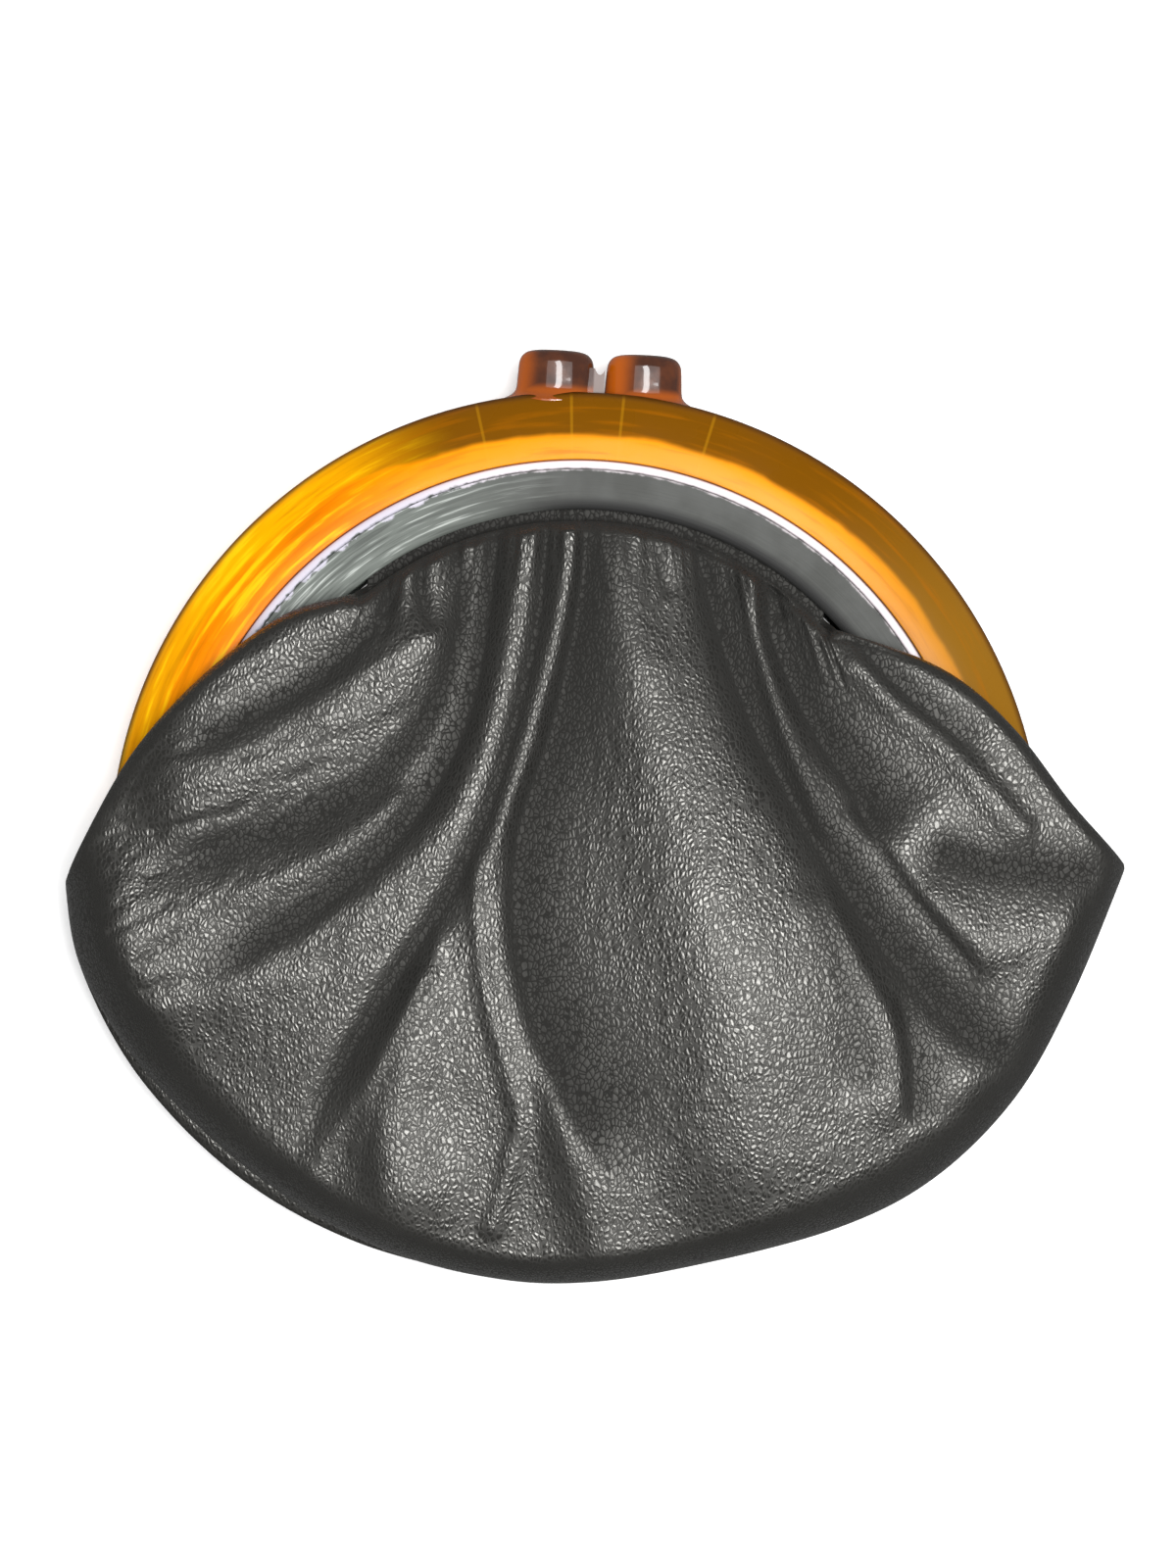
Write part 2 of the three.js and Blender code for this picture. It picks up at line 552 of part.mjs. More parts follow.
function frontPanel() {
  const folds = foldCurves(FOLDS);
  const seamLevel = MIDDLE + GAP / 2;
  const slotLevel = MIDDLE + SLOT_OFFSET + WALL / 2;
  const rounding = 0.8;
  const unseamed = ({ x, y, fromMouth, line, edge }) => {
    const { rise, across, along } = CROWN;
    const crown = rise * Math.exp(-(((x - CROWN.x) / across) ** 2) - ((y - CROWN.y) / along) ** 2);
    const level = lerp(slotLevel, ROLL_LEVEL, line.roll);
    const puff = lerp(MOUTH_LEVEL, BODY_LEVEL, smoothstep(fromMouth, 0, PUFF_REACH));
    const full = lerp(BODY_LEVEL, puff, line.gather) + crown;
    const body = lerp(level, full, swell(fromMouth / MOUTH_RISE));
    const folded = body + foldHeight(folds, x, y) * smoothstep(fromMouth, 0, FOLD_START);
    return edge ? level - rounding * line.roll : folded;
  };
  const outer = (place) => lerp(seamLevel, unseamed(place), rimSwell(place));
  const inner = (place) => {
    const { x, y, fromMouth, line, edge } = place;
    const upright = lerp(WALL, uprightWall(folds, x, y), smoothstep(fromMouth, 0, FOLD_START));
    const hem = (HEM - WALL) * line.roll * (1 - smoothstep(fromMouth, 2, 6));
    const wall = upright + hem - (edge ? 2 * rounding * line.roll : 0);
    return lerp(seamLevel, unseamed(place) - wall, rimSwell(place));
  };
  const steps = 240;
  const upper = panelFace(FRONT_GRID, seamLine(steps, peek), outer);
  const lower = panelFace(FRONT_GRID, seamLine(steps, (share) => peek(share) + WALL), inner);
  return wallGeometry(upper, lower);
}

function backPanel() {
  const folds = foldCurves(backGathers());
  const seamLevel = MIDDLE - GAP / 2;
  const slotLevel = MIDDLE - SLOT_OFFSET - WALL / 2;
  const unseamed = ({ x, y, fromMouth, line }) => {
    const level = lerp(slotLevel, 0, line.roll);
    const body = lerp(level, 0, swell(fromMouth / BACK_RISE));
    const gathered = foldHeight(folds, x, y) * smoothstep(fromMouth, 0, FOLD_START) * (1 - line.roll);
    return Math.max(0, body + gathered);
  };
  const outer = (place) => lerp(seamLevel, unseamed(place), swell(place.fromSeam / BACK_RISE));
  const inner = (place) => lerp(seamLevel, unseamed(place) + WALL, swell(place.fromSeam / BACK_RISE));
  const steps = 240;
  const upper = panelFace(BACK_GRID, seamLine(steps, (share) => peek(share) + WALL), inner);
  const lower = panelFace(BACK_GRID, seamLine(steps, () => 0), outer);
  return wallGeometry(upper, lower);
}

// Assembly

const frame = new THREE.Group();
frame.position.z = MIDDLE;
frame.add(named('front_arch', halfArch(1), amber));
frame.add(named('back_arch', halfArch(-1), amber));
frame.add(named('front_channel', channel(1), greyMetal));
frame.add(named('back_channel', channel(-1), greyMetal));
frame.add(named('front_clasp_post', claspPost(1), darkAmber));
frame.add(named('back_clasp_post', claspPost(-1), darkAmber));
for (const [name, end] of [['left_hinge_pin', -1], ['right_hinge_pin', 1]]) {
  const pin = named(name, hingePin(), greyMetal);
  pin.position.x = end * HINGE_X;
  frame.add(pin);
}

const purse = new THREE.Group();
purse.add(frame);
purse.add(named('front_panel', frontPanel(), leather));
purse.add(named('back_panel', backPanel(), leather));

export default purse;
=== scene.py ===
# A gathered black leather coin purse on a half-round amber frame, lying on its back.
# Sizes are millimetres in the frame's own axes, and each mesh is written in metres.
import math
from collections import namedtuple

import bmesh
import bpy
import numpy as np
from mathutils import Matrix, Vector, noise


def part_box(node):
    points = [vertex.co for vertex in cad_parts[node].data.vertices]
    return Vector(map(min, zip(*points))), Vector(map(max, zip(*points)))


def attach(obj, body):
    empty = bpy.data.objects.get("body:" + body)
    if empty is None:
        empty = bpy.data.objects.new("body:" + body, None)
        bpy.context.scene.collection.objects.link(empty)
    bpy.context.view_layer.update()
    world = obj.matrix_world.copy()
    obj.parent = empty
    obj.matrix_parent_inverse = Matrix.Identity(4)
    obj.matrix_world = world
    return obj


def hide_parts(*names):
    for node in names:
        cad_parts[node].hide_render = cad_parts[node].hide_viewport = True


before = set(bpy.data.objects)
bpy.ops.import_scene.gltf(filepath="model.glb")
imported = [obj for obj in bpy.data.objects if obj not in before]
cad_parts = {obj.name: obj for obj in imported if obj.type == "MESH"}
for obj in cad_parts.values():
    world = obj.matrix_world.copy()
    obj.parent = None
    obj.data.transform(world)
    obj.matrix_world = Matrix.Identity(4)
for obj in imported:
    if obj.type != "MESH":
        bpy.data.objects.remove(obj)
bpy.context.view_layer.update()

MM = 0.001


def node_box(node):
    low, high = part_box(node)
    return np.array(low) / MM, np.array(high) / MM


# Frame, measured on the solids
FRAME_RADIUS = node_box("front_arch")[1][0]
FRAME_FRONT = node_box("front_arch")[1][2]
FRAME_BACK = node_box("back_arch")[0][2]
MIDDLE = (FRAME_FRONT + FRAME_BACK) / 2
CHANNEL_OUTSIDE = node_box("front_channel")[1][1]
CHANNEL_FOOT = node_box("front_channel")[0][1]
POST_TOP = node_box("front_clasp_post")[1][1]

# Frame, drawn inside those sizes
GAP = 0.3
CLEARANCE = 0.05  # between pieces that touch
ARCH_WIDTH = 8.2
ARCH_FACE = 2.8  # facet of the band that faces the front
FACE_FALL = 0.35  # how far that facet falls away outwards
SHOULDER_BASE = 2.8  # height of the band's straight outer wall
SHOULDER_TURN = math.radians(50)
EDGE = 0.35  # rounding of the band's other edges
CHANNEL_INSIDE = 43.0
CHANNEL_DEPTH = 3.2
CHANNEL_EDGE = 0.2  # rounding of the leg behind the slot
FLANGE = 0.7
FLANGE_FALL = 0.4  # the channel's face leans in towards the mouth
FLANGE_POWER = 1.5  # and leans more the nearer it is
FLANGE_NOSE = (0.25, 0.12, 0.15)  # rounding of its end: on the face, down the end, on the underside
SLOT_REACH = 3.2
SLOT_OFFSET = 3.2
BEAD = 0.9
BEAD_WIDTH = 1.1
BEAD_POWER = 0.5  # the bead is squarer than a round one, whose power is 1
LUG_RADIUS = 3.4
LUG_THICKNESS = 3.4
PIN_RADIUS = 1.0
PIN_HEAD_RADIUS = 1.9
HINGE_X = FRAME_RADIUS - ARCH_WIDTH / 2
CRACKS = (105.2, 93.4, 86.9, 75.4)  # turns of hairline cracks in the top of the arch

# Clasp posts: the turned outline, and the tongue that fills the space between them
POST_SPACING = 10.9
POST_LEAN = 0.5  # how far each post stands towards its own half
POST_FOOT = 50.0
POST_FLANK = 4.8  # radius at the foot of the flank
POST_PROFILE = [  # below the top, radius
    (0.0, 2.6), (0.1, 3.2), (0.35, 3.85), (0.8, 4.3), (1.5, 4.58), (3.0, 4.7), (4.6, POST_FLANK),
    (5.2, 5.0), (5.7, 5.5), (6.3, 6.6),
]
POST_DEPTH = 0.62  # the posts are flattened, so that they stand on the outer wall of the arch
SADDLE = (math.radians(60), math.radians(120))  # stretch of the arch cut out of the posts
TONGUE_TOP = 59.8
TONGUE_HALF = 1.7  # half its thickness at the top of the arch
TONGUE_RISE = 0.8  # to both posts, from the lowest place of the web
TONGUE_TAPER = 0.13  # it is thinner towards its top

# Leather
Zone = namedtuple("Zone", "x y")  # on each axis, where the zone starts and where it is full
WALL = 1.2
HEM = 2.6
HEM_FADE = (2.0, 6.0)  # from a rolled edge, where its hem starts to thin and where it has ended
ROLL_LEVEL = 17.8  # height of the rolled edges over the frame
BODY_LEVEL = 19.2  # height of the body without its crown and folds
LEFT_DROP = 1.6  # below the frame, the left side hangs lower than the middle
LEFT_ZONE = Zone((-16, -60), (-14, -34))
EAR_DROP = 1.6  # the left ear falls away from the body
EAR_ZONE = Zone((-46, -60), (-8, 0))
CROWN_RISE = 4.0
CROWN_PLACE = (14.0, -14.0)
CROWN_REACH = (48.0, 30.0)
MOUTH_LEVEL = 18.4  # height that the front panel reaches just inside the channel
MOUTH_RISE = 1.8
PUFF_REACH = 20.0  # from there to the full height of the body
RIM_TURN = [  # share of the rim, rounding there
    (0, 10), (0.06, 8.5), (0.14, 7.5), (0.24, 6.5), (0.34, 5), (0.45, 4.5), (0.6, 5), (0.7, 7), (0.8, 8),
    (0.88, 7.5), (0.93, 6), (1, 7),
]
BACK_RISE = 10.0  # from the back panel's edges to its flat
FOLD_START = 0.9  # from the channel to the full height of the folds
SHADE_REACH = (0.5, 0.8)  # from the channel, where the matt leather with its painted shade starts to fade and where it ends
SWELL_POWER = 2.2  # 2 would make every rounded rise a quarter of an ellipse
STEEPEST = 1.8  # on a steep fold the wall is up to this many times as thick, measured upright
SLOPE_STEP = 0.4  # a fold's slope is measured this far to both sides
NOSE = 2.4  # rounding of a rolled edge
PEEK = 1.7  # back panel beyond the front one, at the lower left
PEEK_SPAN = (0.02, 0.42)
LIP = 0.5  # rise of its rounded edge there
SEAM_GAP = 0.04  # from the middle to each panel
GATHER_LEFT = math.radians(132.8)
GATHER_RIGHT = math.radians(44.3)
MOUTH_STEP = 0.6
MOUTH_RADIUS = CHANNEL_INSIDE - MOUTH_STEP
MOUTH_INSET = 0.8  # from there to the free leather
TUCK = 3.1  # leather inside the channel
END_TURN = math.radians(2.6)  # over which the last gathers become rolled edges
GATHER_TURN = math.radians(22)  # over which the gathers grow from both ends
ROLL_RIM_SHARE = 0.17  # of the rim, below each rolled edge

RIM = [
    (-62.9, -6.6), (-60.4, -17), (-52.6, -29.8), (-40, -41.3), (-25, -48.7), (-8.4, -52.1), (4, -52.1),
    (18.5, -49), (35, -43.7), (46.2, -37.1), (55.5, -26.9), (61.8, -14.4), (67.8, 2.2),
]
LEFT_ROLL = [
    RIM[0], (-60.6, -1.2), (-54.8, 10.3), (-47, 19.9), (-37.3, 28),
    (MOUTH_RADIUS * math.cos(GATHER_LEFT), MOUTH_RADIUS * math.sin(GATHER_LEFT)),
]
RIGHT_ROLL = [
    RIM[-1], (60.4, 9.5), (53.6, 17.6), (47, 23.4), (40.3, 26.8),
    (MOUTH_RADIUS * math.cos(GATHER_RIGHT), MOUTH_RADIUS * math.sin(GATHER_RIGHT)),
]

# Folds of the front panel, each on a smooth path, mostly from the gathers down to its foot: its height at
# the start (a groove's is negative), half width at both ends, the share of height left at the end, and
# how many times wider the fold is on the right of a path that runs down
Fold = namedtuple("Fold", "name path rise width spread tail lean", defaults=[1.0])
FOLDS = [
    Fold("left_tuck", [(-24.5, 32.5), (-25, 28.5), (-27.5, 25), (-32, 21), (-36.5, 17.5), (-42.5, 14),
                       (-50, 9.5)], -1.7, 2, 2.2, 0.6, 1.1),
    Fold("left_slit", [(-24.5, 33.5), (-24.5, 30.5), (-25, 28)], -1.2, 0.7, 0.7, 0.4),
    Fold("left_pinch", [(-20.5, 35.5), (-20.5, 32), (-19.5, 29), (-18, 26.5)], -1.6, 1.1, 1.3, 0.3),
    Fold("groove_b", [(-16.5, 37.5), (-15.5, 31), (-16, 25), (-18, 18), (-23, 10.5), (-31, 4.5),
                      (-40.5, 0), (-54, -5)], -1.3, 1.4, 3, 0.9),
    Fold("groove_c", [(-11.5, 39.5), (-12, 32.5), (-13.2, 20.5), (-15.5, 12.5), (-19, 5.5), (-23, 0),
                      (-30, -6.5), (-39, -13), (-47, -19)], -2, 2.6, 3, 0.7, 0.6),
    Fold("groove_d", [(-5.5, 39.5), (-6.5, 25.5), (-9.5, 11), (-13, 0), (-17.2, -8.5), (-24, -20),
                      (-33, -38)], -1.3, 0.9, 1.3, 1.1, 1.5),
    Fold("groove_f", [(-1, 42), (-1, 33), (-3.5, 16.5), (-7, 3), (-7, -8), (-4.6, -18), (0, -27.7),
                      (5, -35), (10, -41)], -2.5, 0.8, 1.5, 0.6, 6.5),
    Fold("belly_pleat", [(7.5, 40), (8.5, 36), (10.5, 32)], -0.7, 1.2, 1.6, 0.3),
    Fold("groove_h", [(13, 39), (16.3, 28), (21.8, 15.5), (29.8, 2.5), (38.5, -9.5), (45, -16),
                      (51, -20.5), (60, -25)], -3, 1.8, 2.8, 0.75, 2),
    Fold("groove_i", [(22, 34.5), (22.5, 28.5), (28, 17.5), (34, 9.5), (39.5, 3)],
         -2.8, 1.3, 1.8, 0.7, 4),
    Fold("right_slit", [(23.5, 36.5), (23, 33), (24, 30)], -1.8, 1, 1.1, 0.4),
    Fold("right_tuck", [(31, 30), (36.5, 24.5), (41, 20.5), (49.5, 14.5)], -1.1, 1.1, 1.8, 0.6, 1.8),
    Fold("right_dent", [(45, 3), (50.5, 1.5), (56.5, 1.5), (66, 1)], -1.2, 2.6, 3.2, 0.8),
    Fold("groove_e", [(-17.5, -16.5), (-20.5, -23), (-22.5, -30), (-25, -42.5)], -0.4, 0.9, 1.5, 0.4),
    Fold("knuckle", [(-22.5, 34), (-23.5, 30), (-26, 26.5)], 0.9, 4.5, 4.5, 0.8, 0.6),
    Fold("ridge_a", [(-31.5, 28), (-36.5, 24), (-42, 19.5), (-45, 15.5)], 0.7, 3, 3, 0.6),
    Fold("ridge_b", [(-20, 26), (-25, 22.5), (-32.5, 17.5), (-40, 12.5), (-48.5, 7)],
         2, 3.6, 4.6, 0.7, 1.6),
    Fold("ridge_c", [(-22, 6), (-28.5, 0.5), (-35.5, -3.3), (-46, -8), (-54, -12)], 0.8, 1.6, 4.2, 0.9),
    Fold("ridge_d", [(-8, 38.5), (-9.5, 26.5), (-11.3, 15.5), (-15.5, 4.5), (-23.5, -1), (-32.5, -8),
                     (-41, -15)], 0.9, 2, 4.2, 0.7, 1.5),
    Fold("ridge_e", [(-3, 39.5), (-4, 28), (-6.5, 16.5), (-9.5, 5), (-12, -2.5)], 0.8, 1.8, 1.8, 0.8),
    Fold("lobe", [(-18, -16), (-20.5, -24), (-22, -32), (-20, -41)], 1.0, 1.8, 4.5, 1.9, 1.8),
    Fold("ridge_f", [(-12.3, -1), (-11.6, -8), (-10.5, -15), (-8.4, -22), (-6.4, -28), (-5.4, -33),
                     (-8, -45)], 0.3, 1, 1.4, 1.8),
    Fold("ridge_g", [(-16, -10.5), (-18.7, -18), (-21.7, -24), (-26.2, -31.5), (-30, -40)],
         0.45, 1.8, 2.2, 1, 0.6),
    Fold("foot_g", [(-0.5, -27), (1, -34), (3.5, -41), (6, -48)], 1.2, 2.4, 4, 1, 1.8),
    Fold("belly", [(0.5, 39), (2.5, 28.5), (8, 17), (13, 6), (16.5, -5.5), (20, -17.5), (23.5, -34)],
         1.7, 4.2, 11, 1.35, 1.2),
    Fold("belly_top", [(2.5, 37), (4, 31), (6.5, 25)], 0.8, 2, 3, 0.6, 1.5),
    Fold("belly_side", [(29, -2), (32, -10), (34.5, -18), (36, -28)], -0.5, 2, 2.4, 1, 1.6),
    Fold("ridge_h", [(31, -4), (35.3, -11.7), (39, -18.7), (40.3, -27)], 0.7, 3.6, 4, 1, 0.4),
    Fold("ridge_i", [(19.5, 35.5), (20.5, 29.5), (24.5, 17), (30, 5)], 1, 1.3, 1.3, 0.8, 1.4),
    Fold("crease_i", [(36.5, 4), (41, -1.3), (45.5, -6), (49.5, -9.5)], 0.5, 1.2, 1.4, 0.8, 1.5),
    Fold("crease_j", [(34, 8), (38.5, 1), (43, -4.5), (50, -12)], -1, 1.1, 1.4, 0.7),
    Fold("ridge_j", [(27.5, 31), (28.5, 26.5), (29, 23)], 0.8, 1.5, 2, 0.4),
    Fold("right_belly", [(33, 25.5), (38, 21), (43.5, 17), (47.5, 13), (54, 6.5)],
         0.9, 2.2, 2.6, 0.8, 0.6),
    Fold("right_low", [(40.5, -16), (42, -23), (42.5, -31)], -0.8, 0.9, 1.1, 0.8, 4),
    Fold("right_foot", [(44, -3.5), (50, -7), (55, -6.5), (59.5, -5)], 0.7, 3.5, 4, 0.9),
    Fold("left_foot", [(-58.5, -6), (-58, -11), (-55.5, -16), (-51, -20)], 0.9, 2, 2.4, 1, 3.2),
    Fold("crease_a", [(-51.5, 1), (-41.5, 4), (-36, 7.5), (-29.5, 11)], -0.3, 0.5, 0.5, 0.5),
    Fold("crease_b", [(-52, -4.5), (-46, -1.5), (-34.5, 6), (-30.5, 8.5)], -0.3, 0.5, 0.5, 0.5),
    Fold("crease_c", [(-56, -11.5), (-52, -9.5), (-47.5, -6.5)], -0.3, 0.5, 0.5, 0.5),
    Fold("crease_d", [(-52.5, -15), (-47.5, -11), (-43, -7), (-39, -2)], -0.35, 0.5, 0.5, 0.5),
    Fold("crease_e", [(-51.5, -18.5), (-48, -17), (-43.5, -17)], -0.3, 0.5, 0.5, 0.5),
    Fold("crease_f", [(-41.5, 10.5), (-38, 11.5), (-34.5, 14), (-30.5, 14.5)], -0.3, 0.5, 0.5, 0.5),
]
RIDGE_POWER = 2.0
GROOVE_POWER = 1.25
GROOVE_END = 0.8  # share of its path at which a groove starts to run out
CREASE_DEPTH = 1.2  # a groove this deep is matt and painted dark as shade at its bottom

# Plain gathers of the back panel
BACK_GATHERS = 9
BACK_GATHER_RISE = 2.2
BACK_GATHER_LENGTH = 20.0
BACK_GATHER_WIDTH = (1.8, 3.5)  # half widths at both ends

# Small unevenness of the leather: its height, its size both ways, and the layer of noise it is drawn from
Uneven = namedtuple("Uneven", "height size_x size_y layer")
PLEATS = Uneven(0.5, 1 / 90, 1.0, 0.7)  # sizes are shares of the upper edge and of a line to the rim
PLEAT_REACH = 9.0  # from the channel
SWELLS = Uneven(0.3, 14.0, 20.0, 3.1)
CREASES = Uneven(0.05, 1.6, 3.0, 5.3)
CRINKLES = Uneven(0.16, 5.0, 1.6, 8.2)  # they run along X, turned by CRINKLE_TURN
CRINKLE_TURN = math.radians(33)
CRINKLE_ZONE = Zone((-16, -26), (-26, -14))

# Looks: turns of the frame's painted zones in degrees, where each starts and where it is full, and sizes
# of the leather's grain. The left and right zones carry painted light and shade, and the shaded zone a
# painted shadow.
AMBER_LEFT = (108.0, 130.0)
AMBER_RIGHT = (62.0, 30.0)
AMBER_LOW = (142.0, 168.0)
AMBER_BORDER = (51.9, 52.3)  # radii between which the inner facet's colour ends
AMBER_LEFT_SHIFT = 2.0  # how much wider that colour is at the left
CHANNEL_LEFT = (92.0, 124.0)
CHANNEL_SHADED = (110.0, 92.0)
SHADED_EDGE = (1.9, 0.6)  # distances from the channel's inner edge
PALE_LIP = (1.35, 0.85)  # distances from its outer edge, between which the bead's lip is painted pale as a highlight
GRAIN = 0.53
GRAIN_STRETCH = 0.66
GRAIN_DEPTH = 0.043
GRAIN_DRIFT = 1.1
DRIFT_SCALE = 260.0  # to a metre

# Stage
CAMERA_PLACE = (0.99, 9.30)
CAMERA_HEIGHT = 600.0  # above the front of the frame
CAMERA_ROLL = math.radians(2.8)
FRAME_HEIGHT = 192.0  # what the picture's height takes in at the front of the frame
SENSOR = 36.0
FLOOR_SIZE = 3000.0
DOME_STRENGTH = 0.24
Light = namedtuple("Light", "name place size power")  # metres and watts, with the size along Y and X
LIGHTS = [
    Light("key", (0.2, 0.01, 0.95), (0.36, 0.62), 6.3),
    Light("strip", (0.15, 0.06, 0.94), (0.7, 0.17), 4.2),
    Light("fill", (0.14, 0.0, 1.1), (0.95, 1.05), 5.0),
]

# Mesh fineness: lines from the upper edge to the rim, points inside the channel and along a line
Grid = namedtuple("Grid", "roll_lines gather_lines tuck_rows rows")
FRONT_OUTSIDE = Grid(60, 240, 6, 200)
FRONT_INSIDE = Grid(60, 240, 6, 40)
BACK_OUTSIDE = Grid(36, 130, 4, 90)
BACK_INSIDE = Grid(36, 130, 4, 30)
ROW_EASING = 0.75  # how far the rows crowd towards both edges
ROLL_START = 0.004  # share of a line at which a rolled edge's free rows start
CURVE_STEPS = 60  # samples between two points of a smooth curve, before they are spaced evenly
FOLD_POINTS = 28
RIM_POINTS = 241
LIP_ROWS = 7
ARC_STEPS = 240
SADDLE_STEPS = 80
SHOULDER_POINTS = 22
CORNER_POINTS = 6
BEAD_POINTS = 21
FLANGE_POINTS = 9
DISC_STEPS = 48
POST_STEPS = 72
POST_RINGS = 40
TONGUE_POINTS = 60
MERGE = 2e-6  # points this near, in metres, are one
SLIVER = 1e-7  # and edges this short are removed
ARCH_SHARP = 32.0  # degrees between faces, above which an edge is left sharp
CHANNEL_SHARP = 40.0
POST_SHARP = 28.0


# Curves and heights

def lerp(a, b, share):
    return a + (b - a) * share


def smoothstep(value, low, high):
    share = np.clip((value - low) / (high - low), 0, 1)
    return share * share * (3 - 2 * share)


def zone_share(zone, at):
    return smoothstep(at.x, *zone.x) * smoothstep(at.y, *zone.y)


def swell(share):
    """Rounded rise from 0 at an edge to 1 at the end of its distance."""
    left = 1 - np.clip(share, 0, 1)
    return (1 - left ** SWELL_POWER) ** (1 / SWELL_POWER)


def smooth_curve(points, count):
    """Evenly spaced points on a smooth curve through a few points."""
    corners = np.asarray(points, float)
    padded = np.vstack([corners[:1], corners, corners[-1:]])
    place = np.linspace(0, len(corners) - 1, CURVE_STEPS * (len(corners) - 1) + 1)
    piece = np.minimum(place.astype(int), len(corners) - 2)
    share = (place - piece)[:, None]
    before, start, end, after = (padded[piece + k] for k in range(4))
    leave, arrive = (end - before) / 2, (after - start) / 2
    cubic = 2 * start - 2 * end + leave + arrive
    square = -3 * start + 3 * end - 2 * leave - arrive
    curve = ((cubic * share + square) * share + leave) * share + start
    length = np.concatenate([[0], np.cumsum(np.linalg.norm(np.diff(curve, axis=0), axis=1))])
    even = np.linspace(0, length[-1], count)
    return np.column_stack([np.interp(even, length, curve[:, axis]) for axis in range(2)])


def nearest(path, x, y):
    """Distance from each place to a path, the share of the path's length there, and the side of the path
    from -1 at its left to 1 at its right, as it runs down the picture."""
    distance = np.full(x.shape, np.inf)
    along = np.zeros(x.shape)
    side = np.zeros(x.shape)
    for i in range(len(path) - 1):
        step = path[i + 1] - path[i]
        share = ((x - path[i][0]) * step[0] + (y - path[i][1]) * step[1]) / (step @ step)
        share = np.clip(share, 0, 1)
        off_x, off_y = x - path[i][0] - share * step[0], y - path[i][1] - share * step[1]
        there = np.hypot(off_x, off_y)
        turn = (step[0] * off_y - step[1] * off_x) / np.maximum(there * np.hypot(*step), 1e-9)
        closer = there < distance
        distance = np.where(closer, there, distance)
        along = np.where(closer, (i + share) / (len(path) - 1), along)
        side = np.where(closer, turn, side)
    return distance, along, side


def fold_spread(fold, x, y):
    """How many half widths each place lies from a fold's line, and the fold's height on that line."""
    distance, along, side = nearest(smooth_curve(fold.path, FOLD_POINTS), x, y)
    half = lerp(fold.width, fold.spread, along) * lerp(1, fold.lean, (1 + side) / 2)
    rise = fold.rise * lerp(1, fold.tail, along)
    if fold.rise < 0:
        rise = rise * smoothstep(along, 1, GROOVE_END)
    return distance / half, rise


def fold_height(folds, x, y):
    height = np.zeros(x.shape)
    for fold in folds:
        away, rise = fold_spread(fold, x, y)
        height += rise * np.exp(-(away ** (RIDGE_POWER if fold.rise > 0 else GROOVE_POWER)))
    return height


def crease_marks(folds, x, y):
    """How near each place is to the bottom of a groove, from 0 to 1."""
    marks = np.zeros(x.shape)
    for fold in folds:
        if fold.rise < 0:
            away, rise = fold_spread(fold, x, y)
            marks = np.maximum(marks, np.minimum(1, -rise / CREASE_DEPTH) * np.exp(-(away ** 2)))
    return marks


def back_folds():
    folds = []
    for i in range(BACK_GATHERS):
        angle = lerp(GATHER_LEFT, GATHER_RIGHT, (i + 0.5) / BACK_GATHERS)
        ray = np.array([math.cos(angle), math.sin(angle)])
        path = [tuple(ray * (MOUTH_RADIUS - BACK_GATHER_LENGTH * depth)) for depth in (0, 0.33, 0.67, 1)]
        folds.append(Fold(f"back_gather_{i}", path, BACK_GATHER_RISE, *BACK_GATHER_WIDTH, 0))
    return folds


def unevenness(kind, x, y):
    """Smooth noise from -1 to 1, the same at every run."""
    places = zip(x.flat, y.flat)
    values = [noise.noise((px / kind.size_x, py / kind.size_y, kind.layer)) for px, py in places]
    return np.array(values).reshape(x.shape)


# Leather panels

def peek(share):
    middle = sum(PEEK_SPAN) / 2
    return PEEK * smoothstep(share, PEEK_SPAN[0], middle) * (1 - smoothstep(share, middle, PEEK_SPAN[1]))


def seam_line(inset):
    """The rim, drawn in by a width at each share of its length."""
    line = smooth_curve(RIM, RIM_POINTS)
    tangent = np.gradient(line, axis=0)
    tangent /= np.linalg.norm(tangent, axis=1)[:, None]
    inward = np.column_stack([-tangent[:, 1], tangent[:, 0]])
    depth = inset(np.linspace(0, 1, RIM_POINTS))
    return line + inward * depth[:, None]


Edge = namedtuple("Edge", "end start roll gather rim")


def upper_edge(grid):
    """Line by line: where the leather ends, where its free surface starts, how far it is a rolled edge
    instead of tucked into the channel, how far it lies among the gathers, and the share of the rim that
    the line runs to."""
    left = smooth_curve(LEFT_ROLL, grid.roll_lines + 1)[:-1]
    right = smooth_curve(RIGHT_ROLL, grid.roll_lines + 1)[::-1][1:]
    angle = np.linspace(GATHER_LEFT, GATHER_RIGHT, grid.gather_lines + 1)
    ray = np.column_stack([np.cos(angle), np.sin(angle)])
    from_end = np.minimum(GATHER_LEFT - angle, angle - GATHER_RIGHT)
    reach = TUCK * smoothstep(from_end, END_TURN, 2 * END_TURN)
    gather_roll = 1 - smoothstep(from_end, 0, END_TURN)
    share = np.arange(grid.roll_lines) / grid.roll_lines
    rolled = np.ones(grid.roll_lines)
    return Edge(
        end=np.vstack([left, ray * (MOUTH_RADIUS + reach)[:, None], right]),
        start=np.vstack([left, ray * (MOUTH_RADIUS - MOUTH_INSET), right]),
        roll=np.concatenate([rolled, gather_roll, rolled]),
        gather=np.concatenate([0 * rolled, smoothstep(from_end, 0, GATHER_TURN), 0 * rolled]),
        rim=np.concatenate([
            ROLL_RIM_SHARE * share,
            np.linspace(ROLL_RIM_SHARE, 1 - ROLL_RIM_SHARE, grid.gather_lines + 1),
            1 - ROLL_RIM_SHARE * share[::-1],
        ]),
    )


Places = namedtuple("Places", "x y from_mouth from_seam rim roll gather free line row")


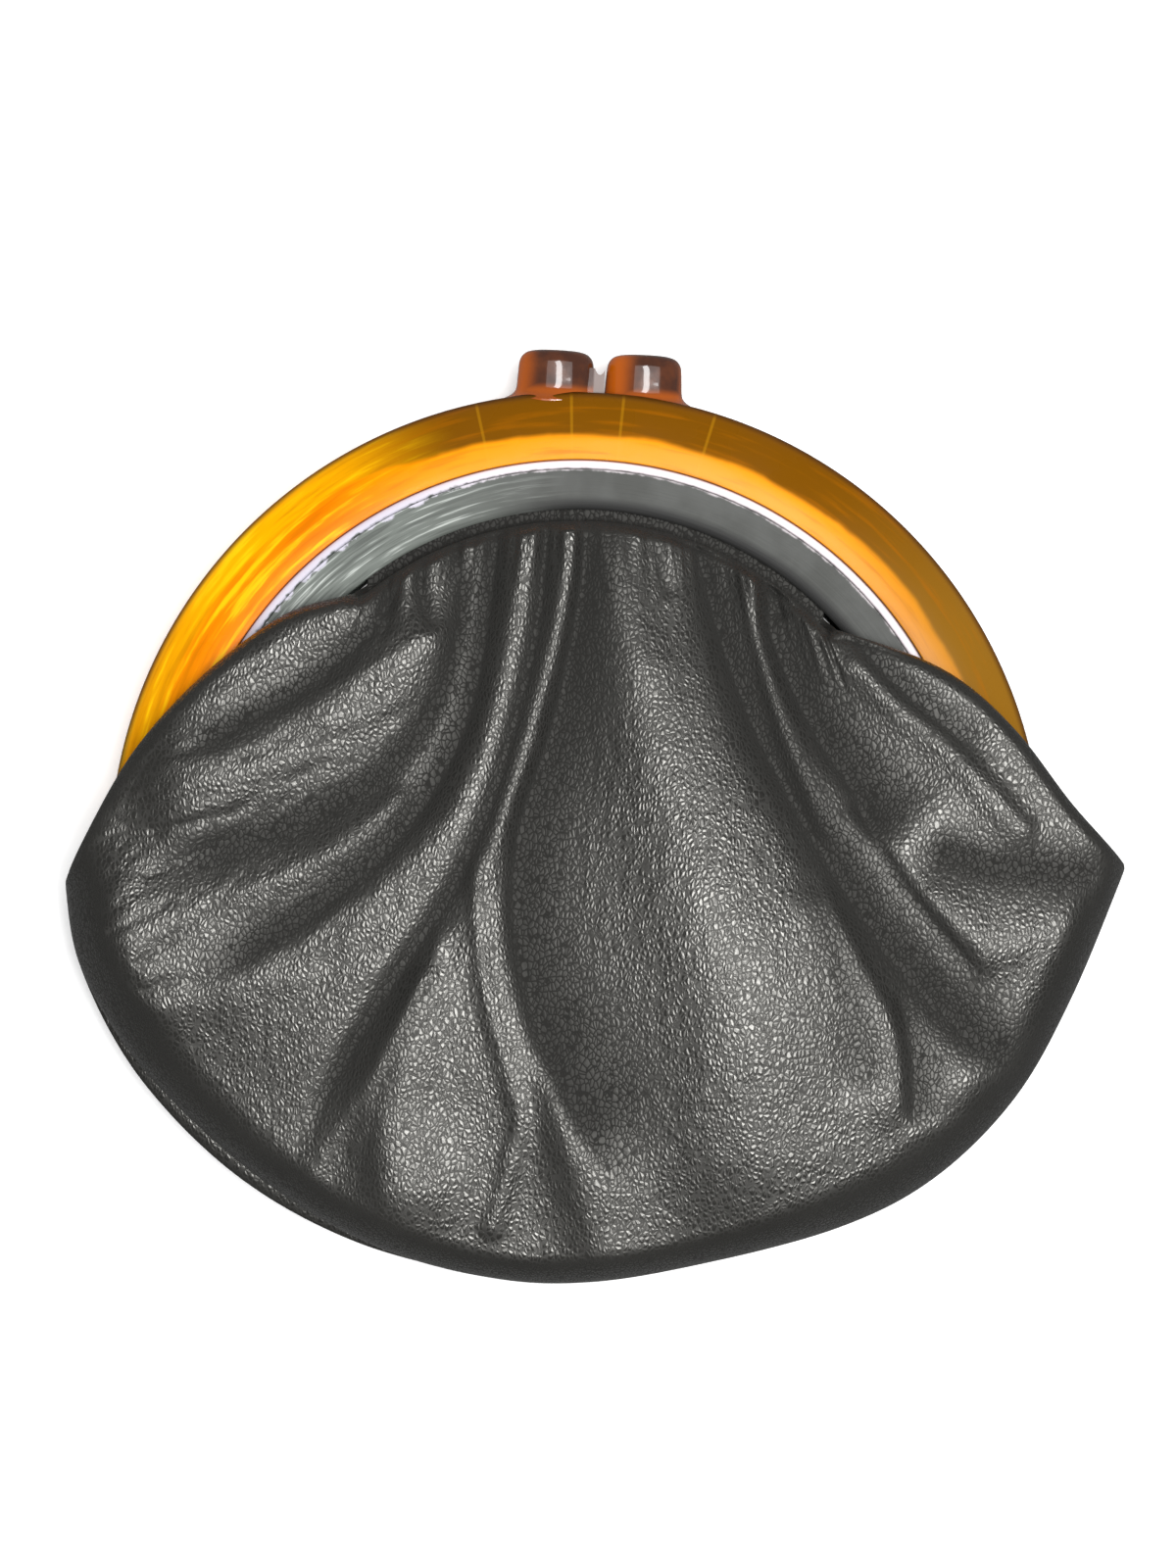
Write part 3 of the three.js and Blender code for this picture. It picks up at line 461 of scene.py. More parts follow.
def panel_places(grid, seam):
    """Every point of one face of a panel, seen from the front, with its distances to both edges."""
    edge = upper_edge(grid)
    shares = np.linspace(0, 1, len(seam))
    foot = np.column_stack([np.interp(edge.rim, shares, seam[:, axis]) for axis in range(2)])
    ears = [0, -1]
    end, start = edge.end.copy(), edge.start.copy()
    end[ears] = start[ears] = foot[ears]
    tucked = np.linspace(0, 1, grid.tuck_rows, endpoint=False)[None, :, None]
    free = np.linspace(0, 1, grid.rows + 1)
    eased = (free - ROW_EASING * np.sin(2 * np.pi * free) / (2 * np.pi))[None, :, None]
    begin = start + (foot - start) * np.where(edge.roll == 1, ROLL_START, 0)[:, None]
    points = np.concatenate([
        lerp(end[:, None], begin[:, None], tucked),
        lerp(begin[:, None], foot[:, None], eased),
    ], axis=1)
    x, y = points[..., 0], points[..., 1]
    mouth = np.where((edge.roll < 1)[:, None], start, end)
    from_mouth = nearest(mouth[::2], x, y)[0]
    from_seam, rim, _ = nearest(seam, x, y)
    inside = np.broadcast_to(np.arange(x.shape[1]) < grid.tuck_rows, x.shape)
    from_mouth[inside & (edge.roll < 1)[:, None]] = 0
    from_seam[ears] = 0
    from_seam[:, -1] = 0
    line, row = np.meshgrid(np.linspace(0, 1, x.shape[0]), np.linspace(0, 1, x.shape[1]), indexing="ij")
    roll, gather = (np.broadcast_to(share[:, None], x.shape) for share in (edge.roll, edge.gather))
    return Places(x, y, from_mouth, from_seam, rim, roll, gather, ~inside, line, row)


def front_level(at, folds):
    """Height of the front panel before it turns down to the seam."""
    across, along = ((v - c) / r for v, c, r in zip((at.x, at.y), CROWN_PLACE, CROWN_REACH))
    crown = CROWN_RISE * np.exp(-(across ** 2) - along ** 2)
    crown -= LEFT_DROP * zone_share(LEFT_ZONE, at)
    crown -= EAR_DROP * zone_share(EAR_ZONE, at)
    slot = MIDDLE + SLOT_OFFSET + WALL / 2
    level = lerp(slot, ROLL_LEVEL, at.roll)
    puff = lerp(MOUTH_LEVEL, BODY_LEVEL, smoothstep(at.from_mouth, 0, PUFF_REACH))
    body = lerp(level, lerp(BODY_LEVEL, puff, at.gather) + crown, swell(at.from_mouth / MOUTH_RISE))
    return body + folds * smoothstep(at.from_mouth, 0, FOLD_START)


def rim_swell(at):
    """How far the front panel has risen from the seam, which it does over a different width all round."""
    return swell(at.from_seam / np.interp(at.rim, *zip(*RIM_TURN)))


def nose(at):
    """Half of a rolled edge's thickness, taken off where it rounds over."""
    return at.roll * HEM / 2 * (1 - swell(at.from_mouth / NOSE))


def front_outside(at):
    folds = fold_height(FOLDS, at.x, at.y)
    folds += SWELLS.height * unevenness(SWELLS, at.x, at.y)
    folds -= CREASES.height * (1 - 2 * np.abs(unevenness(CREASES, at.x, at.y)))
    run = at.x * math.cos(CRINKLE_TURN) + at.y * math.sin(CRINKLE_TURN)
    across = at.y * math.cos(CRINKLE_TURN) - at.x * math.sin(CRINKLE_TURN)
    folds += CRINKLES.height * zone_share(CRINKLE_ZONE, at) * unevenness(CRINKLES, run, across)
    near_mouth = (1 - smoothstep(at.from_mouth, 0, PLEAT_REACH)) * (1 - at.roll) * at.free
    pleats = PLEATS.height * unevenness(PLEATS, at.line, at.row) * near_mouth
    height = front_level(at, folds) + pleats - nose(at)
    return lerp(MIDDLE + SEAM_GAP, height, rim_swell(at))


def front_inside(at):
    folds = fold_height(FOLDS, at.x, at.y)
    slopes = []
    for dx, dy in ((SLOPE_STEP, 0), (0, SLOPE_STEP)):
        ahead = fold_height(FOLDS, at.x + dx, at.y + dy)
        behind = fold_height(FOLDS, at.x - dx, at.y - dy)
        slopes.append((ahead - behind) / (2 * SLOPE_STEP))
    steep = np.minimum(np.sqrt(1 + slopes[0] ** 2 + slopes[1] ** 2), STEEPEST)
    upright = WALL * lerp(1, steep, smoothstep(at.from_mouth, 0, FOLD_START))
    hem = (HEM - WALL) * at.roll * (1 - smoothstep(at.from_mouth, *HEM_FADE))
    height = front_level(at, folds) - upright - hem + nose(at)
    return lerp(MIDDLE + SEAM_GAP, height, rim_swell(at))


def back_level(at):
    slot = MIDDLE - SLOT_OFFSET - WALL / 2
    level = lerp(slot, 0, at.roll)
    body = lerp(level, 0, swell(at.from_mouth / BACK_RISE))
    gathers = fold_height(back_folds(), at.x, at.y) * smoothstep(at.from_mouth, 0, FOLD_START)
    return np.maximum(0, body + gathers * (1 - at.roll))


def back_outside(at):
    return lerp(MIDDLE - SEAM_GAP, back_level(at), swell(at.from_seam / BACK_RISE))


def back_inside(at):
    return lerp(MIDDLE - SEAM_GAP, back_level(at) + WALL, swell(at.from_seam / BACK_RISE))


def face_grid(points, first, flip):
    """Quads of one grid of points whose numbering starts at first."""
    lines, rows = points.shape[:2]
    number = first + np.arange(lines * rows).reshape(lines, rows)
    corners = [number[:-1, :-1], number[:-1, 1:], number[1:, 1:], number[1:, :-1]]
    if flip:
        corners.reverse()
    return number, np.stack(corners, axis=-1).reshape(-1, 4)


def strip(one, other):
    return np.stack([one[:-1], other[:-1], other[1:], one[1:]], axis=-1).reshape(-1, 4)


def shade(mesh, sharp):
    """Smooth shading, apart from edges that turn by more degrees than sharp says."""
    mesh.shade_smooth()
    if sharp is not None:
        mesh.set_sharp_from_angle(angle=math.radians(sharp))


def new_object(name, vertices, faces, materials, face_materials=None, sharp=None, marks=None):
    """A shaded mesh from millimetre points, with doubled points merged and marks for matt leather and
    painted shade kept on them.
    """
    mesh = bpy.data.meshes.new(name)
    mesh.from_pydata((np.asarray(vertices) * MM).tolist(), [], [list(map(int, face)) for face in faces])
    for material in materials:
        mesh.materials.append(material)
    if face_materials is not None:
        mesh.polygons.foreach_set("material_index", np.asarray(face_materials, np.int32))
    if marks is not None:
        mesh.attributes.new("shade_and_matt", "FLOAT", "POINT").data.foreach_set("value", marks)
    work = bmesh.new()
    work.from_mesh(mesh)
    bmesh.ops.remove_doubles(work, verts=work.verts, dist=MERGE)
    bmesh.ops.dissolve_degenerate(work, edges=work.edges, dist=SLIVER)
    bmesh.ops.recalc_face_normals(work, faces=work.faces)
    work.to_mesh(mesh)
    work.free()
    shade(mesh, sharp)
    piece = bpy.data.objects.new(name, mesh)
    bpy.context.scene.collection.objects.link(piece)
    return piece


def panel(name, outside, inside, lip_rows=(), marks=None):
    """A leather wall between an outer and an inner face, closed along its upper edge and its seam."""
    outer_numbers, outer_faces = face_grid(outside, 0, False)
    inner_numbers, inner_faces = face_grid(inside, outside[..., 0].size, True)
    top = strip(outer_numbers[:, 0], inner_numbers[:, 0])
    rims = [outer_numbers[:, -1]]
    vertices = [outside.reshape(-1, 3), inside.reshape(-1, 3)]
    count = outside[..., 0].size + inside[..., 0].size
    for row in lip_rows:
        rims.append(count + np.arange(len(row)))
        vertices.append(row)
        count += len(row)
    rims.append(inner_numbers[:, -1])
    seams = [strip(b, a) for a, b in zip(rims, rims[1:])]
    groups = [outer_faces, inner_faces, top, *seams]
    slots = np.concatenate([np.full(len(g), int(k == 1)) for k, g in enumerate(groups)])
    if marks is not None:
        marks = np.concatenate([marks.ravel(), np.zeros(count - marks.size)])
    return new_object(
        name, np.vstack(vertices), np.vstack(groups), [leather, flesh_side], slots, marks=marks)


def solid_points(at, height):
    return np.stack([at.x, at.y, height], axis=-1)


def shade_and_matt_marks(at):
    """How matt the front panel is, and how dark with painted shade: at the bottoms of grooves and beside
    the channel.
    """
    # painted shade beside the channel, under its edge
    beside_channel = (1 - at.roll) * (1 - smoothstep(at.from_mouth, *SHADE_REACH))
    return np.maximum(crease_marks(FOLDS, at.x, at.y), beside_channel)


def make_front_panel():
    outer = panel_places(FRONT_OUTSIDE, seam_line(peek))
    inner = panel_places(FRONT_INSIDE, seam_line(lambda share: peek(share) + WALL))
    return panel(
        "front_leather",
        solid_points(outer, front_outside(outer)),
        solid_points(inner, front_inside(inner)),
        marks=shade_and_matt_marks(outer),
    )


def make_back_panel():
    outer = panel_places(BACK_OUTSIDE, seam_line(np.zeros_like))
    inner = panel_places(BACK_INSIDE, seam_line(lambda share: peek(share) + WALL))
    outside = solid_points(outer, back_outside(outer))
    inside = solid_points(inner, back_inside(inner))
    rim, hidden = outside[:, -1], inside[:, -1]
    raised = LIP * peek(upper_edge(BACK_OUTSIDE).rim) / PEEK
    lip_rows = []
    for share in np.linspace(0, 1, LIP_ROWS + 2)[1:-1]:
        row = lerp(rim, hidden, share)
        row[:, 2] += raised * math.sin(math.pi * share)
        lip_rows.append(row)
    return panel("back_leather", outside, inside, lip_rows)


# Frame

def swept(section, turns, place):
    """Points and quads of a closed section swept over a list of turns, with its ends closed."""
    rings = np.stack([place(np.asarray(section, float), turn) for turn in turns])
    number = np.arange(rings[..., 0].size).reshape(rings.shape[:2])
    following = np.roll(number, -1, axis=1)
    corners = [number[:-1], following[:-1], following[1:], number[1:]]
    sides = np.stack(corners, axis=-1).reshape(-1, 4).tolist()
    return rings.reshape(-1, 3), sides + [number[0].tolist(), number[-1][::-1].tolist()]


def arc_place(side):
    def place(section, turn):
        radius, height = section.T
        return np.column_stack([
            radius * math.cos(turn), radius * math.sin(turn), MIDDLE + side * height])
    return place


def arch_section(grow=0.0):
    inside = CHANNEL_OUTSIDE + CLEARANCE
    base, top = GAP / 2, FRAME_FRONT - MIDDLE
    shoulder_low, shoulder_high = base + SHOULDER_BASE, top - FACE_FALL
    across = (ARCH_WIDTH - ARCH_FACE) / (1 - math.cos(SHOULDER_TURN))
    upright = (shoulder_high - shoulder_low) / math.sin(SHOULDER_TURN)
    points = [(inside, base + EDGE), (inside + EDGE, base), (FRAME_RADIUS - EDGE, base),
              (FRAME_RADIUS, base + EDGE)]
    for turn in np.linspace(0, SHOULDER_TURN, SHOULDER_POINTS):
        radius = FRAME_RADIUS - across * (1 - math.cos(turn))
        points.append((radius, shoulder_low + upright * math.sin(turn)))
    for turn in np.linspace(0, math.pi / 2, CORNER_POINTS):
        points.append((inside + EDGE / 3 * (1 - math.sin(turn)), top - EDGE / 3 * (1 - math.cos(turn))))
    centre = np.array([FRAME_RADIUS - ARCH_WIDTH / 2, top / 2])
    outward = np.asarray(points) - centre
    return centre + outward * (1 + grow / np.linalg.norm(outward, axis=1))[:, None]


def channel_section():
    low, high = SLOT_OFFSET - CHANNEL_DEPTH / 2, SLOT_OFFSET + CHANNEL_DEPTH / 2
    inside, outside = CHANNEL_INSIDE, CHANNEL_OUTSIDE
    slot_end = inside + SLOT_REACH
    bead_middle = outside - BEAD_WIDTH / 2
    nose_face, nose_end, nose_under = FLANGE_NOSE
    points = [(inside + CHANNEL_EDGE, low), (outside, low)]
    for turn in np.linspace(0, math.pi, BEAD_POINTS):
        across = math.copysign(abs(math.cos(turn)) ** BEAD_POWER, math.cos(turn))
        rise = math.sin(turn) ** BEAD_POWER
        points.append((bead_middle + BEAD_WIDTH / 2 * across, high + BEAD * rise))
    for share in np.linspace(0.1, 1, FLANGE_POINTS):
        radius = lerp(outside - BEAD_WIDTH, inside + nose_face, share)
        points.append((radius, high - FLANGE_FALL * share ** FLANGE_POWER))
    points += [
        (inside, high - FLANGE_FALL - nose_end),
        (inside + nose_under, high - FLANGE),
        (slot_end, high - FLANGE),
        (slot_end, low + FLANGE),
        (inside + CHANNEL_EDGE, low + FLANGE),
        (inside, low + FLANGE - CHANNEL_EDGE),
        (inside, low + CHANNEL_EDGE),
    ]
    return np.array(points)


def cut(piece, operation, tool):
    """Joins or cuts a piece with a tool mesh, and removes the tool."""
    modifier = piece.modifiers.new("cut", "BOOLEAN")
    modifier.operation = operation
    modifier.solver = "EXACT"
    modifier.object = tool
    bpy.context.view_layer.update()
    done = piece.evaluated_get(bpy.context.evaluated_depsgraph_get())
    mesh = bpy.data.meshes.new_from_object(done)
    piece.modifiers.clear()
    old, piece.data = piece.data, mesh
    bpy.data.meshes.remove(old)
    bpy.data.objects.remove(tool)


def discs(rows):
    """Round discs on the hinge axis, each given by its radius and its reach along X, at both hinges."""
    vertices, faces = [], []
    turns = np.linspace(0, 2 * math.pi, DISC_STEPS, endpoint=False)
    for end in (-1, 1):
        for radius, start, stop in rows:
            first = sum(len(v) for v in vertices)
            for x in (end * start, end * stop):
                vertices.append(np.column_stack([
                    np.full(DISC_STEPS, x), radius * np.cos(turns), MIDDLE + radius * np.sin(turns)]))
            near = first + np.arange(DISC_STEPS)
            far = near + DISC_STEPS
            faces += strip(np.append(near, near[0]), np.append(far, far[0])).tolist()
            faces += [near.tolist(), far[::-1].tolist()]
    return new_object("discs", np.vstack(vertices), faces, [])


def make_arch(name, side):
    """One half of the frame, with its hinge lugs and the room for the other half's lugs and the pins."""
    vertices, faces = swept(arch_section(), np.linspace(0, math.pi, ARC_STEPS + 1), arc_place(side))
    arch = new_object(name, vertices, faces, [amber])
    near, far = GAP / 2, GAP / 2 + LUG_THICKNESS
    inner, outer = (HINGE_X - far, HINGE_X - near), (HINGE_X + near, HINGE_X + far)
    own, other = (inner, outer) if side > 0 else (outer, inner)
    clear = LUG_THICKNESS + 2 * PIN_HEAD_RADIUS
    cut(arch, "DIFFERENCE", discs([(LUG_RADIUS + GAP, other[0] - GAP, other[1] + GAP)]))
    cut(arch, "UNION", discs([(LUG_RADIUS, *own)]))
    cut(arch, "DIFFERENCE", discs([
        (PIN_RADIUS + GAP, HINGE_X - far - GAP / 2, HINGE_X + far + GAP / 2),
        (PIN_HEAD_RADIUS + GAP, HINGE_X - clear, HINGE_X - far),
        (PIN_HEAD_RADIUS + GAP, HINGE_X + far, HINGE_X + clear),
    ]))
    shade(arch.data, ARCH_SHARP)
    return arch


def make_channel(name, side):
    section = channel_section()
    first = math.asin(CHANNEL_FOOT / CHANNEL_INSIDE)
    turns = np.linspace(first, math.pi - first, ARC_STEPS + 1)
    vertices, faces = swept(section, turns, arc_place(side))
    return new_object(name, vertices, faces, [channel_metal], sharp=CHANNEL_SHARP)


def make_post(name, side):
    """A turned post on the arch. The front one carries the low tongue between the two."""
    profile = smooth_curve(POST_PROFILE, POST_RINGS)
    outline = [(0.0, POST_TOP)] + [(radius, POST_TOP - below) for below, radius in profile]
    outline += [(outline[-1][0], POST_FOOT), (0.0, POST_FOOT)]
    turns = np.linspace(0, 2 * math.pi, POST_STEPS, endpoint=False)
    centre = -side * POST_SPACING / 2
    rings = []
    for radius, height in outline:
        rings.append(np.column_stack([
            centre + radius * np.cos(turns),
            np.full(POST_STEPS, height),
            MIDDLE + side * POST_LEAN + radius * POST_DEPTH * np.sin(turns),
        ]))
    number = np.arange(len(rings) * POST_STEPS).reshape(-1, POST_STEPS)
    faces = []
    for one, other in zip(number, number[1:]):
        faces += strip(np.append(one, one[0]), np.append(other, other[0])).tolist()
    post = new_object(name, np.vstack(rings), faces, [clasp_amber])
    if side > 0:
        cut(post, "UNION", make_tongue())
    saddle_turns = np.linspace(*SADDLE, SADDLE_STEPS)
    for half in (1, -1):
        vertices, faces = swept(arch_section(grow=CLEARANCE), saddle_turns, arc_place(half))
        cut(post, "DIFFERENCE", new_object("saddle", vertices, faces, []))
    shade(post.data, POST_SHARP)
    return post


def make_tongue():
    """A low web with a hollowed top, from the middle of the front post to the side of the other."""
    reach = POST_SPACING / 2 - POST_FLANK
    left, right = -POST_SPACING / 2, reach - CLEARANCE
    across = np.linspace(left, right, TONGUE_POINTS)
    hollow = np.clip(np.abs(across) / reach, 0, 1) ** 2
    top = np.column_stack([across, TONGUE_TOP + TONGUE_RISE * hollow])
    section = np.vstack([top, [(right, POST_FOOT), (left, POST_FOOT)]])
    half = TONGUE_HALF + TONGUE_TAPER * (FRAME_RADIUS - section[:, 1])
    vertices, faces = swept(section, (-1, 1), lambda points, face: np.column_stack([
        points, MIDDLE + POST_LEAN + face * half]))
    return new_object("tongue", vertices, faces, [clasp_amber])


# Materials

class Shader:
    """A Principled material with short names for the nodes that colour it."""

    def __init__(self, name, **constants):
        self.material = bpy.data.materials.new(name)
        self.material.use_nodes = True
        self.tree = self.material.node_tree
        self.surface = self.tree.nodes["Principled BSDF"]
        for socket, value in constants.items():
            self.surface.inputs[socket.replace("_", " ")].default_value = value
        self.place = self.tree.nodes.new("ShaderNodeTexCoord").outputs["Object"]

    def add(self, kind, inputs=(), **settings):
        node = self.tree.nodes.new(kind)
        for setting, value in settings.items():
            setattr(node, setting, value)
        for socket, value in dict(inputs).items():
            if isinstance(value, bpy.types.NodeSocket):
                self.tree.links.new(value, node.inputs[socket])
            else:
                node.inputs[socket].default_value = value
        return node

    def math(self, operation, *values):
        return self.add("ShaderNodeMath", enumerate(values), operation=operation).outputs[0]

    def scaled(self, vector, factors):
        inputs = {0: vector, 1: factors}
        return self.add("ShaderNodeVectorMath", inputs, operation="MULTIPLY").outputs[0]

    def noise(self, vector, size, detail=3.0, roughness=0.55):
        inputs = {"Vector": vector, "Scale": 1 / (size * MM), "Detail": detail, "Roughness": roughness}
        return self.add("ShaderNodeTexNoise", inputs).outputs[0]

    def cells(self, vector, size):
        inputs = {"Vector": vector, "Scale": 1 / (size * MM)}
        return self.add("ShaderNodeTexVoronoi", inputs, feature="DISTANCE_TO_EDGE").outputs["Distance"]

    def ramp(self, value, low, high, to_low=0.0, to_high=1.0):
        inputs = {"Value": value, "From Min": low, "From Max": high, "To Min": to_low, "To Max": to_high}
        node = self.add("ShaderNodeMapRange", inputs, interpolation_type="SMOOTHSTEP")
        return node.outputs["Result"]

    def mix(self, share, one, other):
        inputs = {0: share, 6: one, 7: other}
        return self.add("ShaderNodeMix", inputs, data_type="RGBA").outputs[2]

    def bump(self, height, depth):
        inputs = {"Height": height, "Distance": depth * MM, "Strength": 1.0}
        return self.add("ShaderNodeBump", inputs).outputs["Normal"]

    def set(self, socket, output):
        self.tree.links.new(output, self.surface.inputs[socket])

    def polar(self):
        """Radius in millimetres and turn in degrees about the centre of the arch."""
        x, y, _ = self.add("ShaderNodeSeparateXYZ", {0: self.place}).outputs
        squares = [self.math("MULTIPLY", value, value) for value in (x, y)]
        radius = self.math("SQRT", self.math("ADD", *squares))
        turn = self.math("ARCTAN2", y, x)
        return self.math("DIVIDE", radius, MM), self.math("DEGREES", turn)

    def along_arc(self, radius, turn, per_degree):
        """A place for streaks that run along the arc, a degree of which counts as so many millimetres."""
        parts = {0: self.math("MULTIPLY", radius, MM), 1: self.math("MULTIPLY", turn, per_degree * MM)}
        return self.add("ShaderNodeCombineXYZ", parts).outputs[0]


def colour(red, green, blue):
    return (red, green, blue, 1.0)


def leather_material():
    """Soft charcoal leather with a fine pebbled grain, longer than wide. The bottoms of folds and the
    strip beside the channel are matt and painted dark as shade.
    """
    s = Shader("black_leather", Specular_IOR_Level=0.8, Specular_Tint=colour(1.0, 0.985, 0.93))
    deep = colour(0.004, 0.0038, 0.0034)
    warp = s.add("ShaderNodeTexNoise", {"Vector": s.place, "Scale": DRIFT_SCALE, "Detail": 2.0})
    drift = s.scaled(warp.outputs["Color"], [GRAIN_DRIFT * MM] * 3)
    bent = s.add("ShaderNodeVectorMath", {0: s.place, 1: drift}, operation="ADD").outputs[0]
    stretched = s.scaled(bent, (1.0, GRAIN_STRETCH, 1.0))
    cells = s.cells(stretched, GRAIN)
    pebble = s.ramp(cells, 0.0, 0.45)
    gap = s.ramp(cells, 0.16, 0.02)
    fine = s.noise(stretched, 0.3, detail=2.0)
    patches = s.noise(s.place, 16.0)
    shade_and_matt = s.add("ShaderNodeAttribute", attribute_name="shade_and_matt").outputs["Fac"]
    height = s.math("ADD", pebble, s.math("MULTIPLY", fine, 0.3))
    tone = s.mix(s.ramp(patches, 0.3, 0.7), colour(0.01, 0.0097, 0.0088), colour(0.015, 0.0145, 0.0132))
    tone = s.mix(gap, tone, deep)
    # painted shade: groove bottoms and the strip beside the channel are darkened to near black
    s.set("Base Color", s.mix(shade_and_matt, tone, deep))
    rough = s.math("ADD", s.ramp(patches, 0.3, 0.7, 0.23, 0.29), s.math("MULTIPLY", gap, 0.4))
    s.set("Roughness", s.math("ADD", rough, s.math("MULTIPLY", shade_and_matt, 0.5)))
    s.set("Normal", s.bump(height, GRAIN_DEPTH))
    return s.material


def flesh_side_material():
    """The matt, fibrous inner side of the leather."""
    s = Shader("leather_inside", Specular_IOR_Level=0.15)
    fibres = s.noise(s.place, 0.5, detail=5.0, roughness=0.7)
    s.set("Base Color", s.mix(fibres, colour(0.018, 0.0165, 0.015), colour(0.05, 0.046, 0.041)))
    s.set("Roughness", s.ramp(fibres, 0.0, 1.0, 0.8, 0.95))
    s.set("Normal", s.bump(fibres, 0.12))
    return s.material


def amber_material():
    """Clear honey plastic with painted light and shade: an orange inner facet and an outer one, both
    painted duller towards the right as shade. The outer one is painted as a yellow glow streaked with
    painted glow at the left, olive brown in painted shade with hairline cracks at the top and dull brown
    at the right, with a dark painted shade along the outer edge."""
    s = Shader("amber_plastic", Specular_IOR_Level=0.06, Coat_Weight=0.05, Coat_Roughness=0.15)
    radius, turn = s.polar()
    streaks = s.noise(s.along_arc(radius, turn, 0.06), 0.9, detail=4.0)
    clouds = s.noise(s.place, 9.0)
    left = s.ramp(turn, *AMBER_LEFT)
    right = s.ramp(turn, *AMBER_RIGHT)
    low = s.ramp(turn, *AMBER_LOW)
    # painted light and shade: both facets turn duller towards the right, and the outer one glows yellow at
    # the left
    inner = s.mix(right, colour(0.84, 0.28, 0.0), colour(0.5, 0.19, 0.003))
    inner = s.mix(left, inner, colour(0.84, 0.2, 0.0))
    outer = s.mix(right, colour(0.165, 0.06, 0.0008), colour(0.22, 0.1, 0.008))
    outer = s.mix(left, outer, colour(0.84, 0.36, 0.0))
    shift = s.math("MULTIPLY", left, AMBER_LEFT_SHIFT)
    border = s.math("ADD", s.ramp(clouds, 0.3, 0.7, *AMBER_BORDER), shift)
    beyond = s.math("SUBTRACT", radius, border)
    tone = s.mix(s.ramp(beyond, -0.4, 0.5), inner, outer)
    tone = s.mix(s.math("MULTIPLY", low, 0.7), tone, colour(0.56, 0.22, 0.001))
    # painted glow: yellow streaks along the arc at the left
    glow_streaks = s.math("MULTIPLY", left, s.ramp(streaks, 0.5, 0.68, 0.0, 0.75))
    tone = s.mix(glow_streaks, tone, colour(0.9, 0.56, 0.004))
    brown = s.ramp(streaks, 0.5, 0.3, 0.0, 0.45)
    tone = s.mix(brown, tone, colour(0.33, 0.1, 0.0005))
    for angle in CRACKS:
        off = s.math("ABSOLUTE", s.math("SUBTRACT", turn, angle))
        tone = s.mix(s.ramp(off, 0.26, 0.1, 0.0, 0.22), tone, colour(0.62, 0.3, 0.008))
    # painted shade: a dark line along the outer edge
    edge = s.ramp(s.math("SUBTRACT", FRAME_RADIUS, radius), 0.9, 0.1, 0.0, 0.85)
    s.set("Base Color", s.mix(edge, tone, colour(0.07, 0.024, 0.0008)))
    s.set("Roughness", s.ramp(clouds, 0.3, 0.7, 0.2, 0.36))
    s.set("Normal", s.bump(s.noise(s.place, 3.0), 0.03))
    return s.material


def clasp_material():
    """Darker red-brown plastic with a high polish, with a painted orange glow, as of light through thin
    plastic, on the left flanks of the posts, the far right edge and the feet, and a pale web between.
    """
    s = Shader("dark_amber_plastic", Specular_IOR_Level=0.2, Coat_Weight=1.0, Coat_Roughness=0.03)
    clouds = s.noise(s.place, 3.0)
    x, y, _ = s.add("ShaderNodeSeparateXYZ", {0: s.scaled(s.place, [1 / MM] * 3)}).outputs
    tone = s.mix(s.ramp(clouds, 0.35, 0.7), colour(0.05, 0.016, 0.008), colour(0.1, 0.028, 0.009))
    # painted glow: orange on the left flanks of both posts, the far right edge and the feet
    left_flank = s.ramp(x, -7.2, -10.2)
    middle_flank = s.math("MULTIPLY", s.ramp(x, 4.8, 2.0), s.ramp(x, 0.0, 0.7))
    right_flank = s.ramp(x, 9.4, 10.4, 0.0, 0.6)
    foot = s.ramp(y, 58.6, 57.4, 0.0, 0.7)
    thin = s.math("MAXIMUM", left_flank, middle_flank)
    for part in (right_flank, foot):
        thin = s.math("MAXIMUM", thin, part)
    tone = s.mix(s.math("MULTIPLY", thin, 0.8), tone, colour(0.5, 0.1, 0.0))
    web = s.ramp(s.math("ABSOLUTE", x), 0.85, 0.6)
    s.set("Base Color", s.mix(web, tone, colour(0.22, 0.17, 0.155)))
    rough = s.ramp(clouds, 0.3, 0.7, 0.1, 0.2)
    s.set("Roughness", s.math("ADD", rough, s.math("MULTIPLY", web, 0.5)))
    return s.material


